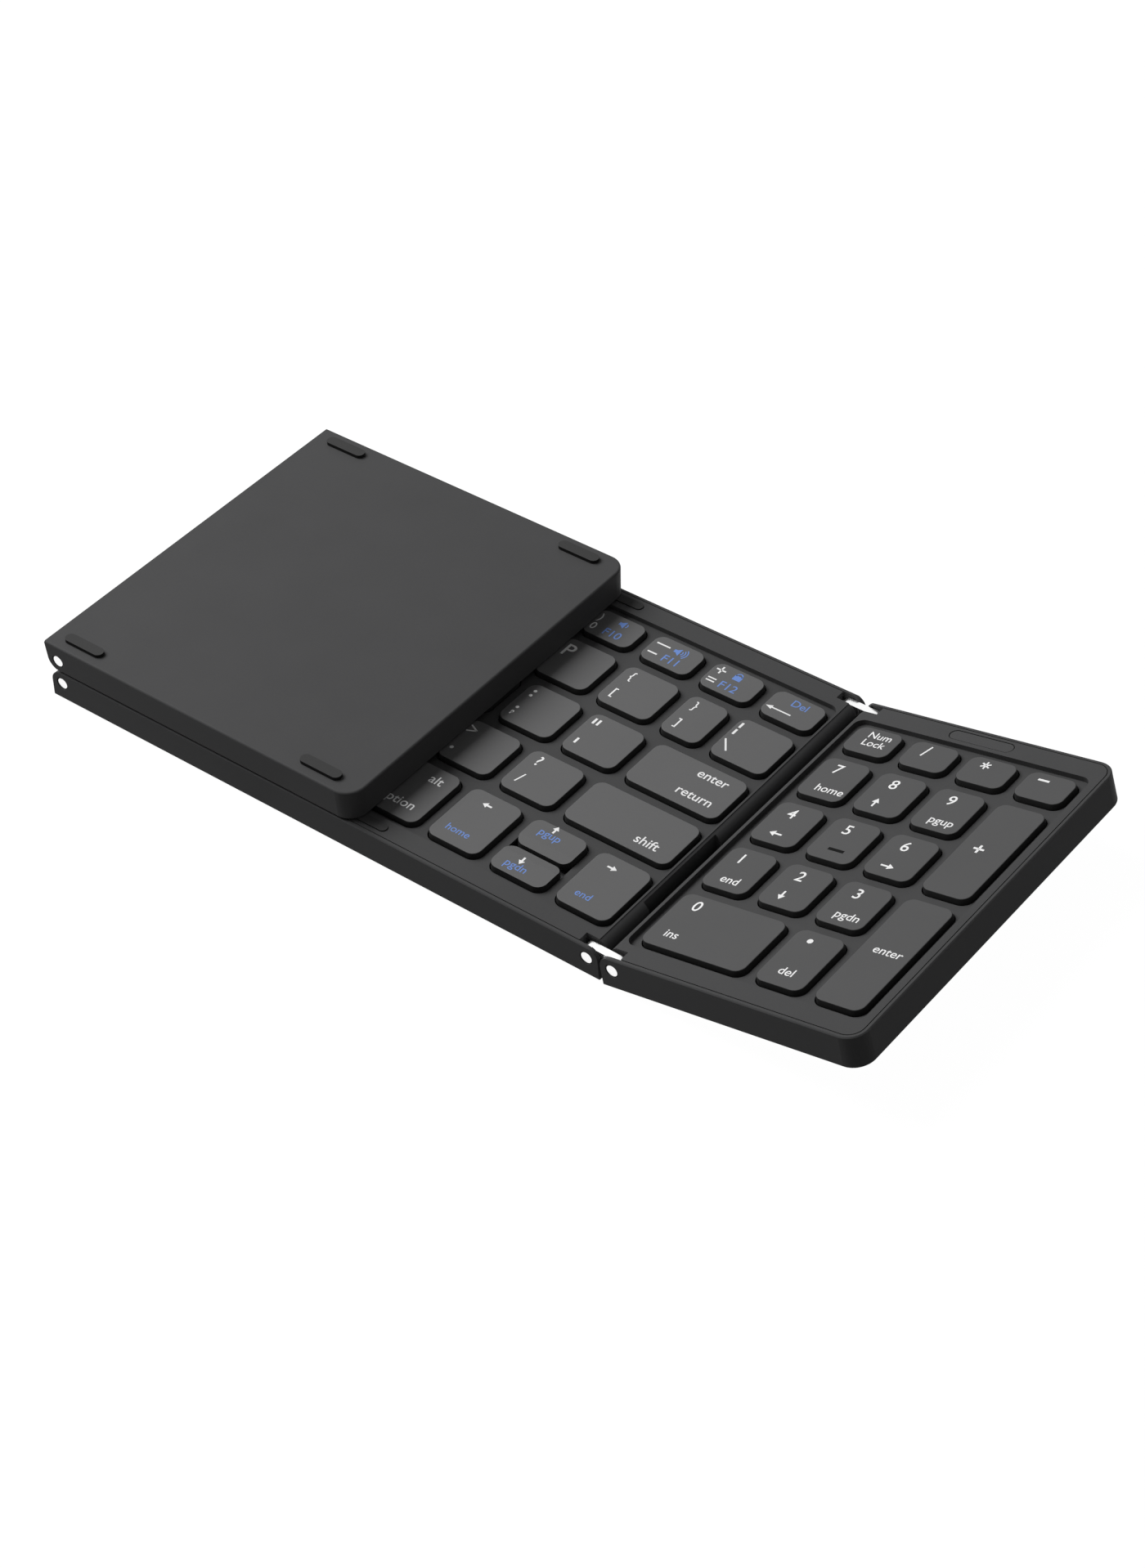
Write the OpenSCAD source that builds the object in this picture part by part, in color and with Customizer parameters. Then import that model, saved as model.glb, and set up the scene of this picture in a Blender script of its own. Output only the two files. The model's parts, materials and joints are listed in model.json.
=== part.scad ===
// Three-panel folding keyboard with a number pad.
// A centre panel carries a left and a right panel on two-pin links. Each side panel folds key side down
// onto the centre panel, and the two then lie side by side.
// It is drawn with the left panel folded in and the right panel a little above flat.
// Millimetres, +Z up. The origin is under the middle of the whole object, on the plane its feet stand on.

/* [Panels] */
// Distance between the two pin axes of the centre panel
centre_pin_span = 160.2; // [140:0.1:200]
// Left panel, from its pin axis to its free edge at the rim
left_reach = 93.7; // [84:0.1:100]
// Right panel, from its pin axis to its free edge at the rim
right_reach = 65.9; // [60:0.1:76]
// Depth of every panel at its rim, front to back
panel_depth = 102; // [96:0.5:116]
// Thickness of a panel without its feet
panel_thickness = 8.2; // [7.6:0.1:10]
// How far the underside stands out past the rim on each side
side_draft = 0.3; // [0.1:0.05:0.8]
// Radius of the free end's corners at the rim
corner_radius = 4.7; // [3:0.1:8]
// Radius of the underside's edges
edge_radius = 0.6; // [0.2:0.05:1]
// Width of the small bevel along the rim's outer edge
rim_bevel = 0.25; // [0.1:0.05:0.4]
// Thickness of the tray's side walls at the rim
wall = 0.9; // [0.7:0.05:1.1]
// Thickness of the tray's floor
floor_thickness = 1; // [0.8:0.05:1.4]
// Gap between pieces that sit in each other
fit_gap = 0.05; // [0.02:0.01:0.1]
// Width of the groove round the frame, inside the rim
rim_groove = 0.18; // [0.1:0.02:0.3]
// Depth of that groove
rim_groove_depth = 0.4; // [0.2:0.05:0.6]

/* [Hinges] */
// Distance between the two pin axes of a link
link_length = 7; // [6.9:0.05:7.6]
// Height of a panel's rim above its pin axis
rim_height = 3.25; // [3:0.05:3.3]
// Distance from a pin axis to its panel's hinge end at the underside
hinge_end = 3.4; // [3.3:0.05:3.42]
// Radius of a link's rounded ends
link_radius = 2.3; // [1.8:0.05:2.4]
// Thickness of a link along the pins
link_thickness = 1.95; // [1.2:0.05:2.2]
// Room round a link in its slot
link_room = 0.25; // [0.15:0.05:0.4]
// Radius of a pin's shaft
pin_radius = 1; // [0.7:0.05:1.2]
// Running clearance between a pin and its bores
pin_clearance = 0.05; // [0.02:0.01:0.09]
// Radius of a pin's head
pin_head_radius = 1.45; // [1.3:0.05:1.6]
// Radius of the round recess that a pin's head sits in
pin_recess_radius = 1.75; // [1.7:0.05:2.1]
// Depth of that recess
pin_recess_depth = 0.5; // [0.3:0.05:0.6]
// Thickness of the ear outside a link's slot
ear_thickness = 1.05; // [1:0.05:1.3]
// Width of a link's slot along the pins
slot_width = 2.7; // [2.4:0.05:3]
// Length of the pin bore in the wall inside a link's slot
bore_depth = 2; // [1.2:0.1:2.1]
// Length of the window for the flat cable in a hinge end
cable_window = 26.5; // [14:0.5:40]
// Place of that window's middle, front to back
cable_window_y = -19.2; // [-24:0.1:-16]

/* [Well and deck] */
// Width of the bezel at the front of the key well
front_bezel = 6.1; // [6.1:0.1:7]
// Width of the bezel at the back of the key well
back_bezel = 6.5; // [6.1:0.1:7]
// How far the well reaches past the pin axis at a hinge
well_past_pin = 0.5; // [0.4:0.05:0.6]
// Width of the bezel at a free end
end_bezel = 3; // [2.6:0.1:3.4]
// Radius of the well's corners
well_radius = 2.5; // [1:0.1:3]
// Depth of the deck below the rim
deck_depth = 1.35; // [1.2:0.05:1.8]
// Thickness of the deck
deck_thickness = 0.6; // [0.4:0.05:0.8]

/* [Keys] */
// Height of the key tops above the rim
key_proud = 0.1; // [0:0.02:0.12]
// Travel of a key
key_travel = 1.5; // [1:0.1:1.55]
// How far a key spreads from its top to its foot on each side
key_flare = 0.2; // [0.1:0.05:0.6]
// Radius of a key top's corners
key_radius = 2.4; // [1.5:0.1:2.8]
// Depth of a key's straight skirt below the deck's surface
key_skirt = 0.8; // [0.65:0.05:0.85]
// Thickness of a key's top
key_top_thickness = 0.8; // [0.6:0.05:1.2]
// Thickness of a key's side wall at its foot
key_wall = 1.2; // [1.1:0.05:1.4]
// Room round a key in the deck
key_clearance = 0.33; // [0.2:0.01:0.4]
// Radius of the post under a key
key_post_radius = 2; // [1.2:0.1:2.2]
// Gap between the tops of neighbouring main keys
key_gap = 3.45; // [3.2:0.05:3.8]
// Distance from a pin axis to the first main key's top
key_from_pin = 0.97; // [0.95:0.01:2]
// Distance from the well's edge at a free end to the nearest key top
key_from_end = 1.75; // [1.6:0.05:3]
// Width of a letter key's top
letter_width = 15.2; // [13.5:0.1:15.4]
// Width of a number key's top
number_width = 14.1; // [13:0.1:14.4]
// Width of the key top right of the bracket keys' pair
narrow_width = 10.9; // [9:0.1:12]
// Width of the return key's top
return_width = 25.9; // [22:0.1:28]
// Width of the right shift key's top
shift_width = 29.5; // [26:0.1:31]
// Width of an arrow key's top
arrow_width = 14.65; // [12:0.05:15]
// Depth of the number row's key tops
short_row_depth = 9.3; // [8:0.1:9.5]
// Depth of the front row's key tops
front_row_depth = 18.1; // [15:0.1:18.4]
// Gap between the tops of two rows
row_gap = 3.65; // [3.3:0.05:3.8]
// Distance from the well's back edge to the number row's key tops
key_from_back = 2.25; // [1.4:0.05:3]
// Distance from the well's front edge to the front row's key tops
key_from_front = 1.95; // [1.4:0.05:3]
// Gap between the tops of the two half keys
half_key_gap = 1.3; // [0.8:0.1:2]
// Depth of the sloped band where the two half keys meet
half_key_band = 2.3; // [1:0.1:3]
// Drop of that sloped band
half_key_drop = 0.6; // [0.2:0.05:0.8]
// Gap between the tops of neighbouring number pad keys
pad_gap = 3.25; // [3:0.05:3.6]
// Distance from the pin axis to the first number pad column's key tops
pad_from_pin = 1.925; // [1.6:0.025:3]
// Distance from the well's edge at the free end to the last column's key tops
pad_from_end = 1.825; // [1.4:0.025:3]

/* [Inside] */
// Height of a switch dome, pressed flat
dome_height = 0.3; // [0.2:0.05:0.35]
// Radius of a switch dome
dome_radius = 2.6; // [1.5:0.1:3]
// Thickness of the switch sheet
sheet_thickness = 0.3; // [0.2:0.05:0.35]
// Thickness of the key plate
plate_thickness = 0.4; // [0.3:0.05:0.5]
// Width of the tray's ribs
rib_width = 1; // [0.6:0.1:1.5]
// Room between a rib and the battery
rib_room = 3; // [2:0.1:6]
// Distance from the left pin axis to the battery
battery_from_pin = 19.1; // [14:0.1:22]
// Distance from the right pin axis to the circuit board
board_from_pin = 20.1; // [16:0.1:24]
// Battery size along X
battery_width = 58; // [30:1:64]
// Battery size along Y
battery_depth = 46; // [20:1:50]
// Battery thickness
battery_thickness = 1.8; // [1.2:0.05:1.9]
// Circuit board size along X
board_width = 44; // [24:1:46]
// Circuit board size along Y
board_depth = 26; // [16:1:30]
// Circuit board thickness
board_thickness = 0.8; // [0.6:0.1:1]
// Charging socket's width
port_width = 7.6; // [7:0.1:9]
// Charging socket's height
port_height = 2.4; // [2.2:0.05:2.5]
// Charging socket's depth
port_depth = 5; // [4:0.1:5.2]
// Width of the flat cable
cable_width = 12; // [6:0.5:12.5]
// Thickness of the flat cable
cable_thickness = 0.25; // [0.15:0.05:0.35]

/* [Feet and trim] */
// Length of a foot
foot_length = 11.9; // [8:0.1:12.4]
// Width of a foot
foot_width = 2.8; // [2.6:0.1:3.2]
// Height of a foot below the underside
foot_proud = 0.9; // [0.65:0.05:1.2]
// Depth of a foot's recess
foot_recess = 0.4; // [0.3:0.05:0.5]
// Distance from a pin axis to the middle of the nearest foot
foot_from_pin = 6.5; // [6.4:0.1:12]
// Distance from a free edge to the middle of the nearest foot
foot_from_end = 12; // [8:0.1:20]
// Distance from the front and back rims to a foot's middle line
foot_from_side = 3.7; // [3.5:0.1:4.2]
// Radius of a screw's shank
screw_radius = 0.6; // [0.5:0.05:0.8]
// Radius of a screw's head
screw_head_radius = 1.15; // [1:0.05:1.3]
// Height of a screw's head
screw_head_height = 0.45; // [0.3:0.05:0.6]
// Length of a screw's shank
screw_length = 4.6; // [3.5:0.1:5]
// Length of a bumper
bumper_length = 13; // [8:0.5:20]
// Width of a bumper
bumper_width = 2.4; // [1.6:0.1:3]
// Height of a bumper above the rim
bumper_proud = 0.3; // [0.1:0.05:0.35]
// Depth of a bumper's recess
bumper_recess = 0.5; // [0.3:0.05:0.8]
// Distance from the front and back rims to a bumper's middle line
bumper_from_side = 3.4; // [3:0.1:3.8]
// Length of the indicator window
window_length = 17.2; // [10:0.1:22]
// Width of the indicator window
window_width = 3.4; // [2.4:0.1:3.8]
// Thickness of the indicator window
window_thickness = 1; // [0.6:0.1:2]
// Distance from the pin axis to the window's middle
window_from_pin = 31.6; // [20:0.1:40]
// Distance from the back rim to the window's middle line
window_from_side = 3.6; // [3.3:0.1:3.9]

/* [Pose] */
// Angle of the right panel above the centre panel
right_tilt = 12; // [0:0.5:30]

/* [Hidden] */
$fn = 48;

body_colour = [0.2, 0.2, 0.205];
key_colour = [0.27, 0.27, 0.275];
rubber_colour = [0.13, 0.13, 0.13];
steel_colour = [0.88, 0.88, 0.88];
cut = 1;                                          // how far a cutting shape runs past a face
far = 400;                                        // longer than any panel

// Heights in a panel's own frame, whose z = 0 is its pin axis
underside_z = rim_height - panel_thickness;
floor_z = underside_z + floor_thickness;
deck_z = rim_height - deck_depth;
deck_under_z = deck_z - deck_thickness;
key_top_z = rim_height + key_proud;
key_foot_z = deck_z - key_skirt;
press_gap = 0.1;                                  // air left under a key that is pressed
dome_top_z = key_foot_z - key_travel - press_gap;
sheet_z = dome_top_z - dome_height;               // top of the switch sheet
ring_z = sheet_z;                                 // foot of the frame's ring, which holds the sheet down
plate_z = sheet_z - sheet_thickness;              // top of the key plate
rib_z = plate_z - plate_thickness;                // top of the tray's ribs

half_depth = panel_depth / 2;
half_span = centre_pin_span / 2;
draft_angle = atan(side_draft / panel_thickness);

// Places across the hinge, outward from a pin axis
nose_inner = well_past_pin + 0.55;                // inner face of the tray's solid hinge end
frame_edge = nose_inner - fit_gap;                // hinge edge of the frame
frame_inset = wall + fit_gap;                     // frame's outer face, from the rim's edge inward
top_inset = frame_inset + rim_groove;             // the same above the groove

// Places from the rim's front and back edges inward
slot_inner = ear_thickness + slot_width;
boss_inner = slot_inner + bore_depth + 0.3;
slot_reach = link_radius + link_room;             // slot past the pin axis, and below it
block_reach = slot_reach + 1.3;                   // hinge block past the pin axis
block_top_z = rim_height - 1.2;                   // top of the hinge block, under the frame's skin
link_from_side = ear_thickness + 0.15;

// Where the whole object stands
pin_z = foot_proud - underside_z;
fillet_x = right_reach + side_draft - edge_radius * (1 + sin(draft_angle)) / cos(draft_angle);
fillet_z = underside_z + edge_radius;
right_extent = half_span + link_length + fillet_x * cos(right_tilt) - fillet_z * sin(right_tilt)
    + edge_radius;
left_extent = half_span + hinge_end;
centre_x = (left_extent - right_extent) / 2;      // middle of the centre panel

// Rows of keys from the back to the front: middle and depth
letter_row_depth = (panel_depth - back_bezel - front_bezel - key_from_back - key_from_front
    - short_row_depth - front_row_depth - 4 * row_gap) / 3;
row_depths = [short_row_depth, letter_row_depth, letter_row_depth, letter_row_depth, front_row_depth];
well_back = half_depth - back_bezel;
well_front = -half_depth + front_bezel;
first_row_back = well_back - key_from_back;
function row_back(row) = row == 0 ? first_row_back : row_back(row - 1) - row_depths[row - 1] - row_gap;
function row_middle(row) = row_back(row) - row_depths[row] / 2;

// Main key tops in a row, [middle, width], counted from the hinge side; a width of 0 fills what is left
function row_start(widths, n) = n == 0 ? 0 : row_start(widths, n - 1) + widths[n - 1] + key_gap;
function row_width(widths, n, length) = widths[n] > 0 ? widths[n] : length - row_start(widths, n);
function row_key(widths, n, length) =
    let (w = row_width(widths, n, length)) [row_start(widths, n) + w / 2, w];

centre_key_edge = half_span - key_from_pin;       // outer edge of the centre panel's outer keys
centre_row_length = 2 * centre_key_edge;
centre_rows = [
    [number_width, number_width, number_width, number_width, number_width, number_width, number_width,
     number_width, 0],
    [letter_width, narrow_width, letter_width, letter_width, letter_width, letter_width, letter_width,
     letter_width, 0],
    [return_width, letter_width, letter_width, letter_width, letter_width, letter_width, letter_width, 0],
    [shift_width, letter_width, letter_width, letter_width, letter_width, letter_width, letter_width, 0],
    [arrow_width, letter_width, arrow_width, letter_width, 0],
];
left_well_end = left_reach - end_bezel;
left_row_length = left_well_end - key_from_end - key_from_pin;
left_rows = [
    [number_width, number_width, number_width, number_width, 0],
    [letter_width, letter_width, letter_width, letter_width, 0],
    [letter_width, letter_width, letter_width, letter_width, 0],
    [letter_width, letter_width, letter_width, 0],
    [letter_width, arrow_width, arrow_width, arrow_width, 0],
];
// Number pad: four columns between the hinge and the free end
pad_key_width = (right_reach - end_bezel - pad_from_pin - pad_from_end - 3 * pad_gap) / 4;
pad_pitch = pad_key_width + pad_gap;
pad_first = pad_from_pin + pad_key_width / 2;     // middle of the first column
// Its keys: [column, row, columns wide, rows deep]
function pad_layout() = [
    [0, 0, 1, 1], [1, 0, 1, 1], [2, 0, 1, 1], [3, 0, 1, 1],
    [0, 1, 1, 1], [1, 1, 1, 1], [2, 1, 1, 1], [3, 1, 1, 2],
    [0, 2, 1, 1], [1, 2, 1, 1], [2, 2, 1, 1],
    [0, 3, 1, 1], [1, 3, 1, 1], [2, 3, 1, 1], [3, 3, 1, 2],
    [0, 4, 2, 1], [2, 4, 1, 1],
];

// A key is [x, y, width, depth] of its top in its panel's frame
function centre_key(row, n) =
    let (k = row_key(centre_rows[row], n, centre_row_length))
    [centre_key_edge - k[0], row_middle(row), k[1], row_depths[row]];
function left_key(row, n) =
    let (k = row_key(left_rows[row], n, left_row_length))
    [key_from_pin + k[0], -row_middle(row), k[1], row_depths[row]];
function pad_key(k) =
    let (back = row_back(k[1]), last = k[1] + k[3] - 1, front = row_back(last) - row_depths[last])
    [pad_first + (k[0] + (k[2] - 1) / 2) * pad_pitch, (back + front) / 2,
     pad_key_width + (k[2] - 1) * pad_pitch, back - front];
// The two half keys share one place in the front row; side is 1 for the back one and -1 for the front one
half_place = centre_key(4, 1);
function half_key(side) =
    let (d = (half_place[3] - half_key_gap) / 2)
    [half_place[0], half_place[1] + side * (d + half_key_gap) / 2, half_place[2], d];

all_centre_keys = [for (row = [0 : 4]) for (n = [0 : len(centre_rows[row]) - 1]) centre_key(row, n)];
all_left_keys = [for (row = [0 : 4]) for (n = [0 : len(left_rows[row]) - 1]) left_key(row, n)];
all_pad_keys = [for (k = pad_layout()) pad_key(k)];

// Feet and screws: x places in each panel's frame
foot_y = half_depth - foot_from_side;
centre_foot_x = [-half_span + foot_from_pin, half_span - foot_from_pin];
left_foot_x = [foot_from_pin, left_reach - foot_from_end];
right_foot_x = [foot_from_pin, right_reach - foot_from_end];

// Ribs under the key plates: [x, y from, y to] in each panel's frame
rib_front = [-half_depth + boss_inner + 1, -half_depth + boss_inner + 10];
rib_back = [-10, half_depth - boss_inner - 1];
battery_place = [-half_span + battery_from_pin, 0];                      // left front corner
board_place = [half_span - board_from_pin - board_width, 18];            // left front corner
rib_middle_x = (battery_place[0] + battery_width + board_place[0]) / 2;
centre_rib_x = [battery_place[0] - rib_room, rib_middle_x, half_span - board_from_pin / 2];
centre_ribs = [for (x = centre_rib_x) for (y = [rib_front, rib_back]) [x, y[0], y[1]]];
left_ribs = [for (i = [1 : 3]) for (y = [rib_front, rib_back]) [left_reach * i / 4, y[0], y[1]]];
right_ribs = [for (i = [1 : 2]) for (y = [rib_front, rib_back]) [right_reach * i / 3, y[0], y[1]]];

board_z = floor_z + 0.3;
port_x = board_place[0] + board_width / 2;
port_z = floor_z + 0.1;
cable_y = cable_window_y;
cable_z = rib_z - 0.6;
cable_branch_x = board_place[0] + 8;
window_floor_z = rim_height - 6.2;                // floor of the flat cable's window
bumper_x = (left_reach - right_reach) / 2;        // where the folded panels' free ends meet
bumper_y = half_depth - bumper_from_side;
window_y = half_depth - window_from_side;

// ---- placing ----

module at_centre() translate([centre_x, 0, pin_z]) children();
module at_left_pin() translate([centre_x - half_span, 0, pin_z]) children();
module at_right_pin() translate([centre_x + half_span, 0, pin_z]) children();
// The left panel lies key side down, its pin above the centre panel's pin
module at_left() translate([centre_x - half_span, 0, pin_z + link_length]) rotate([180, 0, 0]) children();
module at_right() translate([centre_x + half_span + link_length, 0, pin_z]) rotate([0, -right_tilt, 0])
    children();
module front_and_back() {
    children();
    mirror([0, 1, 0]) children();
}
module both_ends() {
    children();
    mirror([1, 0, 0]) children();
}

// ---- plain shapes ----

// A drawing in x and z, drawn out along Y
module along_y(y0, y1) translate([0, y1, 0]) rotate([90, 0, 0]) linear_extrude(y1 - y0) children();
// A drawing in y and z, drawn out along X
module along_x(x0, x1) translate([x0, 0, 0]) rotate([90, 0, 90]) linear_extrude(x1 - x0) children();
module rod_y(x, y0, y1, z, r) translate([x, y1, z]) rotate([90, 0, 0]) cylinder(h = y1 - y0, r = r);
module box(x, y, z) translate([x[0], y[0], z[0]]) cube([x[1] - x[0], y[1] - y[0], z[1] - z[0]]);
// A bar with round ends, along X
module stadium(x, y, z, length, width) {
    r = width / 2;
    h = z[1] - z[0];
    box([x - length / 2 + r, x + length / 2 - r], [y - r, y + r], z);
    for (side = [-1, 1]) translate([x + side * (length / 2 - r), y, z[0]]) cylinder(h = h, r = r);
}
// A slab with four rounded corners
module rounded_slab(x, y, z, r) {
    box([x[0] + r, x[1] - r], y, z);
    box(x, [y[0] + r, y[1] - r], z);
    for (cx = [x[0] + r, x[1] - r]) for (cy = [y[0] + r, y[1] - r])
        translate([cx, cy, z[0]]) cylinder(h = z[1] - z[0], r = r);
}
// A slab whose two corners at its high x end are rounded
module tongue(x, y, z, r) {
    box([x[0], x[1] - r], y, z);
    box([x[1] - r - cut, x[1]], [y[0] + r, y[1] - r], z);
    for (cy = [y[0] + r, y[1] - r]) translate([x[1] - r, cy, z[0]]) cylinder(h = z[1] - z[0], r = r);
}

// ---- panel outline ----

// Half of a panel's cross-section: leaning wall and rounded lower edge
module edge_section(reach) {
    fx = reach + side_draft - edge_radius * (1 + sin(draft_angle)) / cos(draft_angle);
    polygon([
        [0, underside_z], [fx, underside_z],
        [fx + edge_radius * cos(draft_angle), fillet_z + edge_radius * sin(draft_angle)],
        [reach + rim_bevel * tan(draft_angle), rim_height - rim_bevel],
        [reach - rim_bevel, rim_height], [0, rim_height],
    ]);
    translate([fx, fillet_z]) circle(r = edge_radius);
}
module full_section(reach) {
    edge_section(reach);
    mirror([1, 0]) edge_section(reach);
}
// A hinge end: square below the pin axis, round about the pin above it
module hinge_section(length) {
    polygon([
        [-hinge_end, underside_z], [length, underside_z], [length, rim_height],
        [0, rim_height], [0, 0], [-rim_height, 0],
    ]);
    circle(r = rim_height);
}
// Solid outer form of a side panel, with its pin axis at x = 0
module side_block(reach) {
    cx = reach - corner_radius;
    cy = half_depth - corner_radius;
    intersection() {
        along_y(-half_depth - cut, half_depth + cut) hinge_section(reach + cut);
        union() {
            along_x(-hinge_end, cx) full_section(half_depth);
            along_y(-cy, cy) edge_section(reach);
            for (side = [-1, 1]) translate([cx, side * cy, 0]) rotate_extrude() edge_section(corner_radius);
        }
    }
}
module centre_block() {
    intersection() {
        along_x(-left_extent, left_extent) full_section(half_depth);
        along_y(-half_depth - cut, half_depth + cut) {
            translate([-half_span, 0]) hinge_section(half_span);
            translate([half_span, 0]) mirror([1, 0]) hinge_section(half_span);
        }
    }
}

// ---- hinge corner, at a pin axis, with the panel towards +X and the front edge at -Y ----

module hinge_block(room) {
    box([-far, block_reach + room], [-half_depth - cut, -half_depth + boss_inner + room],
        [-far, block_top_z + room]);
}
module link_slot() {
    box([-far, slot_reach], [-half_depth + ear_thickness, -half_depth + slot_inner], [-slot_reach, far]);
}
// The frame stops short of the slot and of the ear outside it
module frame_slot() {
    box([-far, slot_reach], [-half_depth - cut, -half_depth + slot_inner], [-far, far]);
}
module pin_bores() {
    rod_y(0, -half_depth - cut, -half_depth + slot_inner + bore_depth, 0, pin_radius + pin_clearance);
    rod_y(0, -half_depth - cut, -half_depth + pin_recess_depth, 0, pin_recess_radius);
}
// Window for the flat cable through the hinge end
module cable_opening() {
    box([-far, -nose_inner - 0.55], [cable_window_y - cable_window / 2, cable_window_y + cable_window / 2],
        [window_floor_z, far]);
    box([-far, -nose_inner + cut], [cable_y - cable_width / 2 - 0.3, cable_y + cable_width / 2 + 0.3],
        [cable_z - 0.2, cable_z + cable_thickness + 0.2]);
}

// ---- shared parts of the three trays ----

module foot_recesses(places) {
    front_and_back() for (x = places)
        stadium(x, foot_y, [underside_z - cut, underside_z + foot_recess],
            foot_length + 2 * fit_gap, foot_width + 2 * fit_gap);
}
module screw_columns(places) {
    front_and_back() for (x = places)
        translate([x, foot_y, floor_z - 0.1])
            cylinder(h = ring_z - floor_z + 0.1, r = screw_head_radius + 0.35);
}
module screw_holes(places) {
    front_and_back() for (x = places) translate([x, foot_y, 0]) {
        translate([0, 0, underside_z - cut]) cylinder(h = far, r = screw_radius + 0.1);
        translate([0, 0, underside_z - cut])
            cylinder(h = cut + foot_recess + screw_head_height + fit_gap, r = screw_head_radius + 0.1);
    }
}
module ribs(places) {
    for (rib = places)
        box([rib[0] - rib_width / 2, rib[0] + rib_width / 2], [rib[1], rib[2]], [floor_z - 0.1, rib_z]);
}

module side_tray(reach, feet, rib_places) {
    difference() {
        union() {
            difference() {
                side_block(reach);
                difference() {
                    tongue([-nose_inner, reach - wall], [-half_depth + wall, half_depth - wall],
                        [floor_z, far], corner_radius - wall);
                    front_and_back() hinge_block(0);
                }
            }
            screw_columns(feet);
            ribs(rib_places);
        }
        front_and_back() link_slot();
        front_and_back() pin_bores();
        foot_recesses(feet);
        screw_holes(feet);
        children();
    }
}

// ---- shared parts of the three frames ----

module key_hole(key) {
    spread = key_flare + key_clearance;
    rounded_slab([key[0] - key[2] / 2 - spread, key[0] + key[2] / 2 + spread],
        [key[1] - key[3] / 2 - spread, key[1] + key[3] / 2 + spread],
        [deck_under_z - cut, deck_z + cut], key_radius + spread);
}
module screw_pilots(places) {
    front_and_back() for (x = places)
        translate([x, foot_y, ring_z - cut]) cylinder(h = cut + 3, r = screw_radius + 0.02);
}
// Well and hollow under the deck, over the whole x range and the given y range
module well(x, y) {
    rounded_slab(x, y, [deck_z, far], well_radius);
    rounded_slab(x, y, [-far, deck_under_z], well_radius);
}

module side_frame(reach, well_y, keys, feet) {
    difference() {
        union() {
            tongue([-frame_edge, reach - frame_inset],
                [-half_depth + frame_inset, half_depth - frame_inset],
                [ring_z, rim_height - rim_groove_depth], corner_radius - frame_inset);
            tongue([-frame_edge, reach - top_inset], [-half_depth + top_inset, half_depth - top_inset],
                [ring_z + cut, rim_height], corner_radius - top_inset);
        }
        well([-well_past_pin, reach - end_bezel], well_y);
        for (key = keys) key_hole(key);
        front_and_back() hinge_block(fit_gap);
        front_and_back() frame_slot();
        screw_pilots(feet);
        children();
    }
}

// ---- shared inner parts ----

module key_plate(x, y) box(x, y, [rib_z, plate_z]);
module switch_sheet(x, y, keys) {
    box(x, y, [plate_z, sheet_z]);
    for (key = keys) translate([key[0], key[1], sheet_z - 0.1])
        cylinder(h = dome_height + 0.1, r = dome_radius);
}
plate_y = [-half_depth + boss_inner + fit_gap, half_depth - boss_inner - fit_gap];
plate_past_pin = nose_inner - 0.15;
module feet(places) {
    front_and_back() for (x = places)
        stadium(x, foot_y, [underside_z - foot_proud, underside_z + foot_recess], foot_length, foot_width);
}
module screws(places) {
    front_and_back() for (x = places) translate([x, foot_y, underside_z + foot_recess]) {
        cylinder(h = screw_head_height, r = screw_head_radius);
        cylinder(h = screw_head_height + screw_length, r = screw_radius);
    }
}

// ---- keys ----

// Solid form of a key: leaning sides with rounded corners over a straight skirt
module key_form(w, d, flare) {
    x = w / 2 - key_radius;
    y = d / 2 - key_radius;
    h = key_top_z - deck_z;
    r_foot = key_radius + flare;
    skirt = [key_foot_z, deck_z];
    along_y(-y, y) polygon([
        [-x - r_foot, deck_z], [x + r_foot, deck_z], [x + key_radius, key_top_z],
        [-x - key_radius, key_top_z],
    ]);
    along_x(-x, x) polygon([
        [-y - r_foot, deck_z], [y + r_foot, deck_z], [y + key_radius, key_top_z],
        [-y - key_radius, key_top_z],
    ]);
    for (cx = [-x, x]) for (cy = [-y, y]) translate([cx, cy, deck_z])
        cylinder(h = h, r1 = r_foot, r2 = key_radius);
    rounded_slab([-x - r_foot, x + r_foot], [-y - r_foot, y + r_foot], skirt, r_foot);
}
module key_hollow(w, d) {
    x = w / 2 + key_flare - key_wall;
    y = d / 2 + key_flare - key_wall;
    inset = key_flare * 0.6;                      // keeps the wall's thickness where the sides lean in
    difference() {
        rounded_slab([-x + inset, x - inset], [-y + inset, y - inset],
            [key_foot_z - cut, key_top_z - key_top_thickness], key_radius - 1);
        cylinder(h = far, r = key_post_radius, center = true);
    }
}
module key(k) {
    color(key_colour) translate([k[0], k[1], 0]) difference() {
        key_form(k[2], k[3], key_flare);
        key_hollow(k[2], k[3]);
    }
}
// One of the two half keys: cut off square where they meet, with a sloped band there
module half_key_cap(side) {
    k = half_key(side);
    meet = half_key_gap / 2 - 0.35;               // room between the two feet
    edge = k[3] / 2;
    color(key_colour) translate([k[0], k[1], 0]) difference() {
        key_form(k[2], k[3], key_flare);
        key_hollow(k[2], k[3]);
        mirror([0, side > 0 ? 0 : 1, 0]) {
            box([-far, far], [-far, -edge - meet], [-far, far]);
            translate([0, -edge + half_key_band, key_top_z])
                rotate([atan(half_key_drop / half_key_band), 0, 0])
                    box([-far, far], [-far / 10, 0], [0, far]);
        }
    }
}

// ---- centre panel ----

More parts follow.
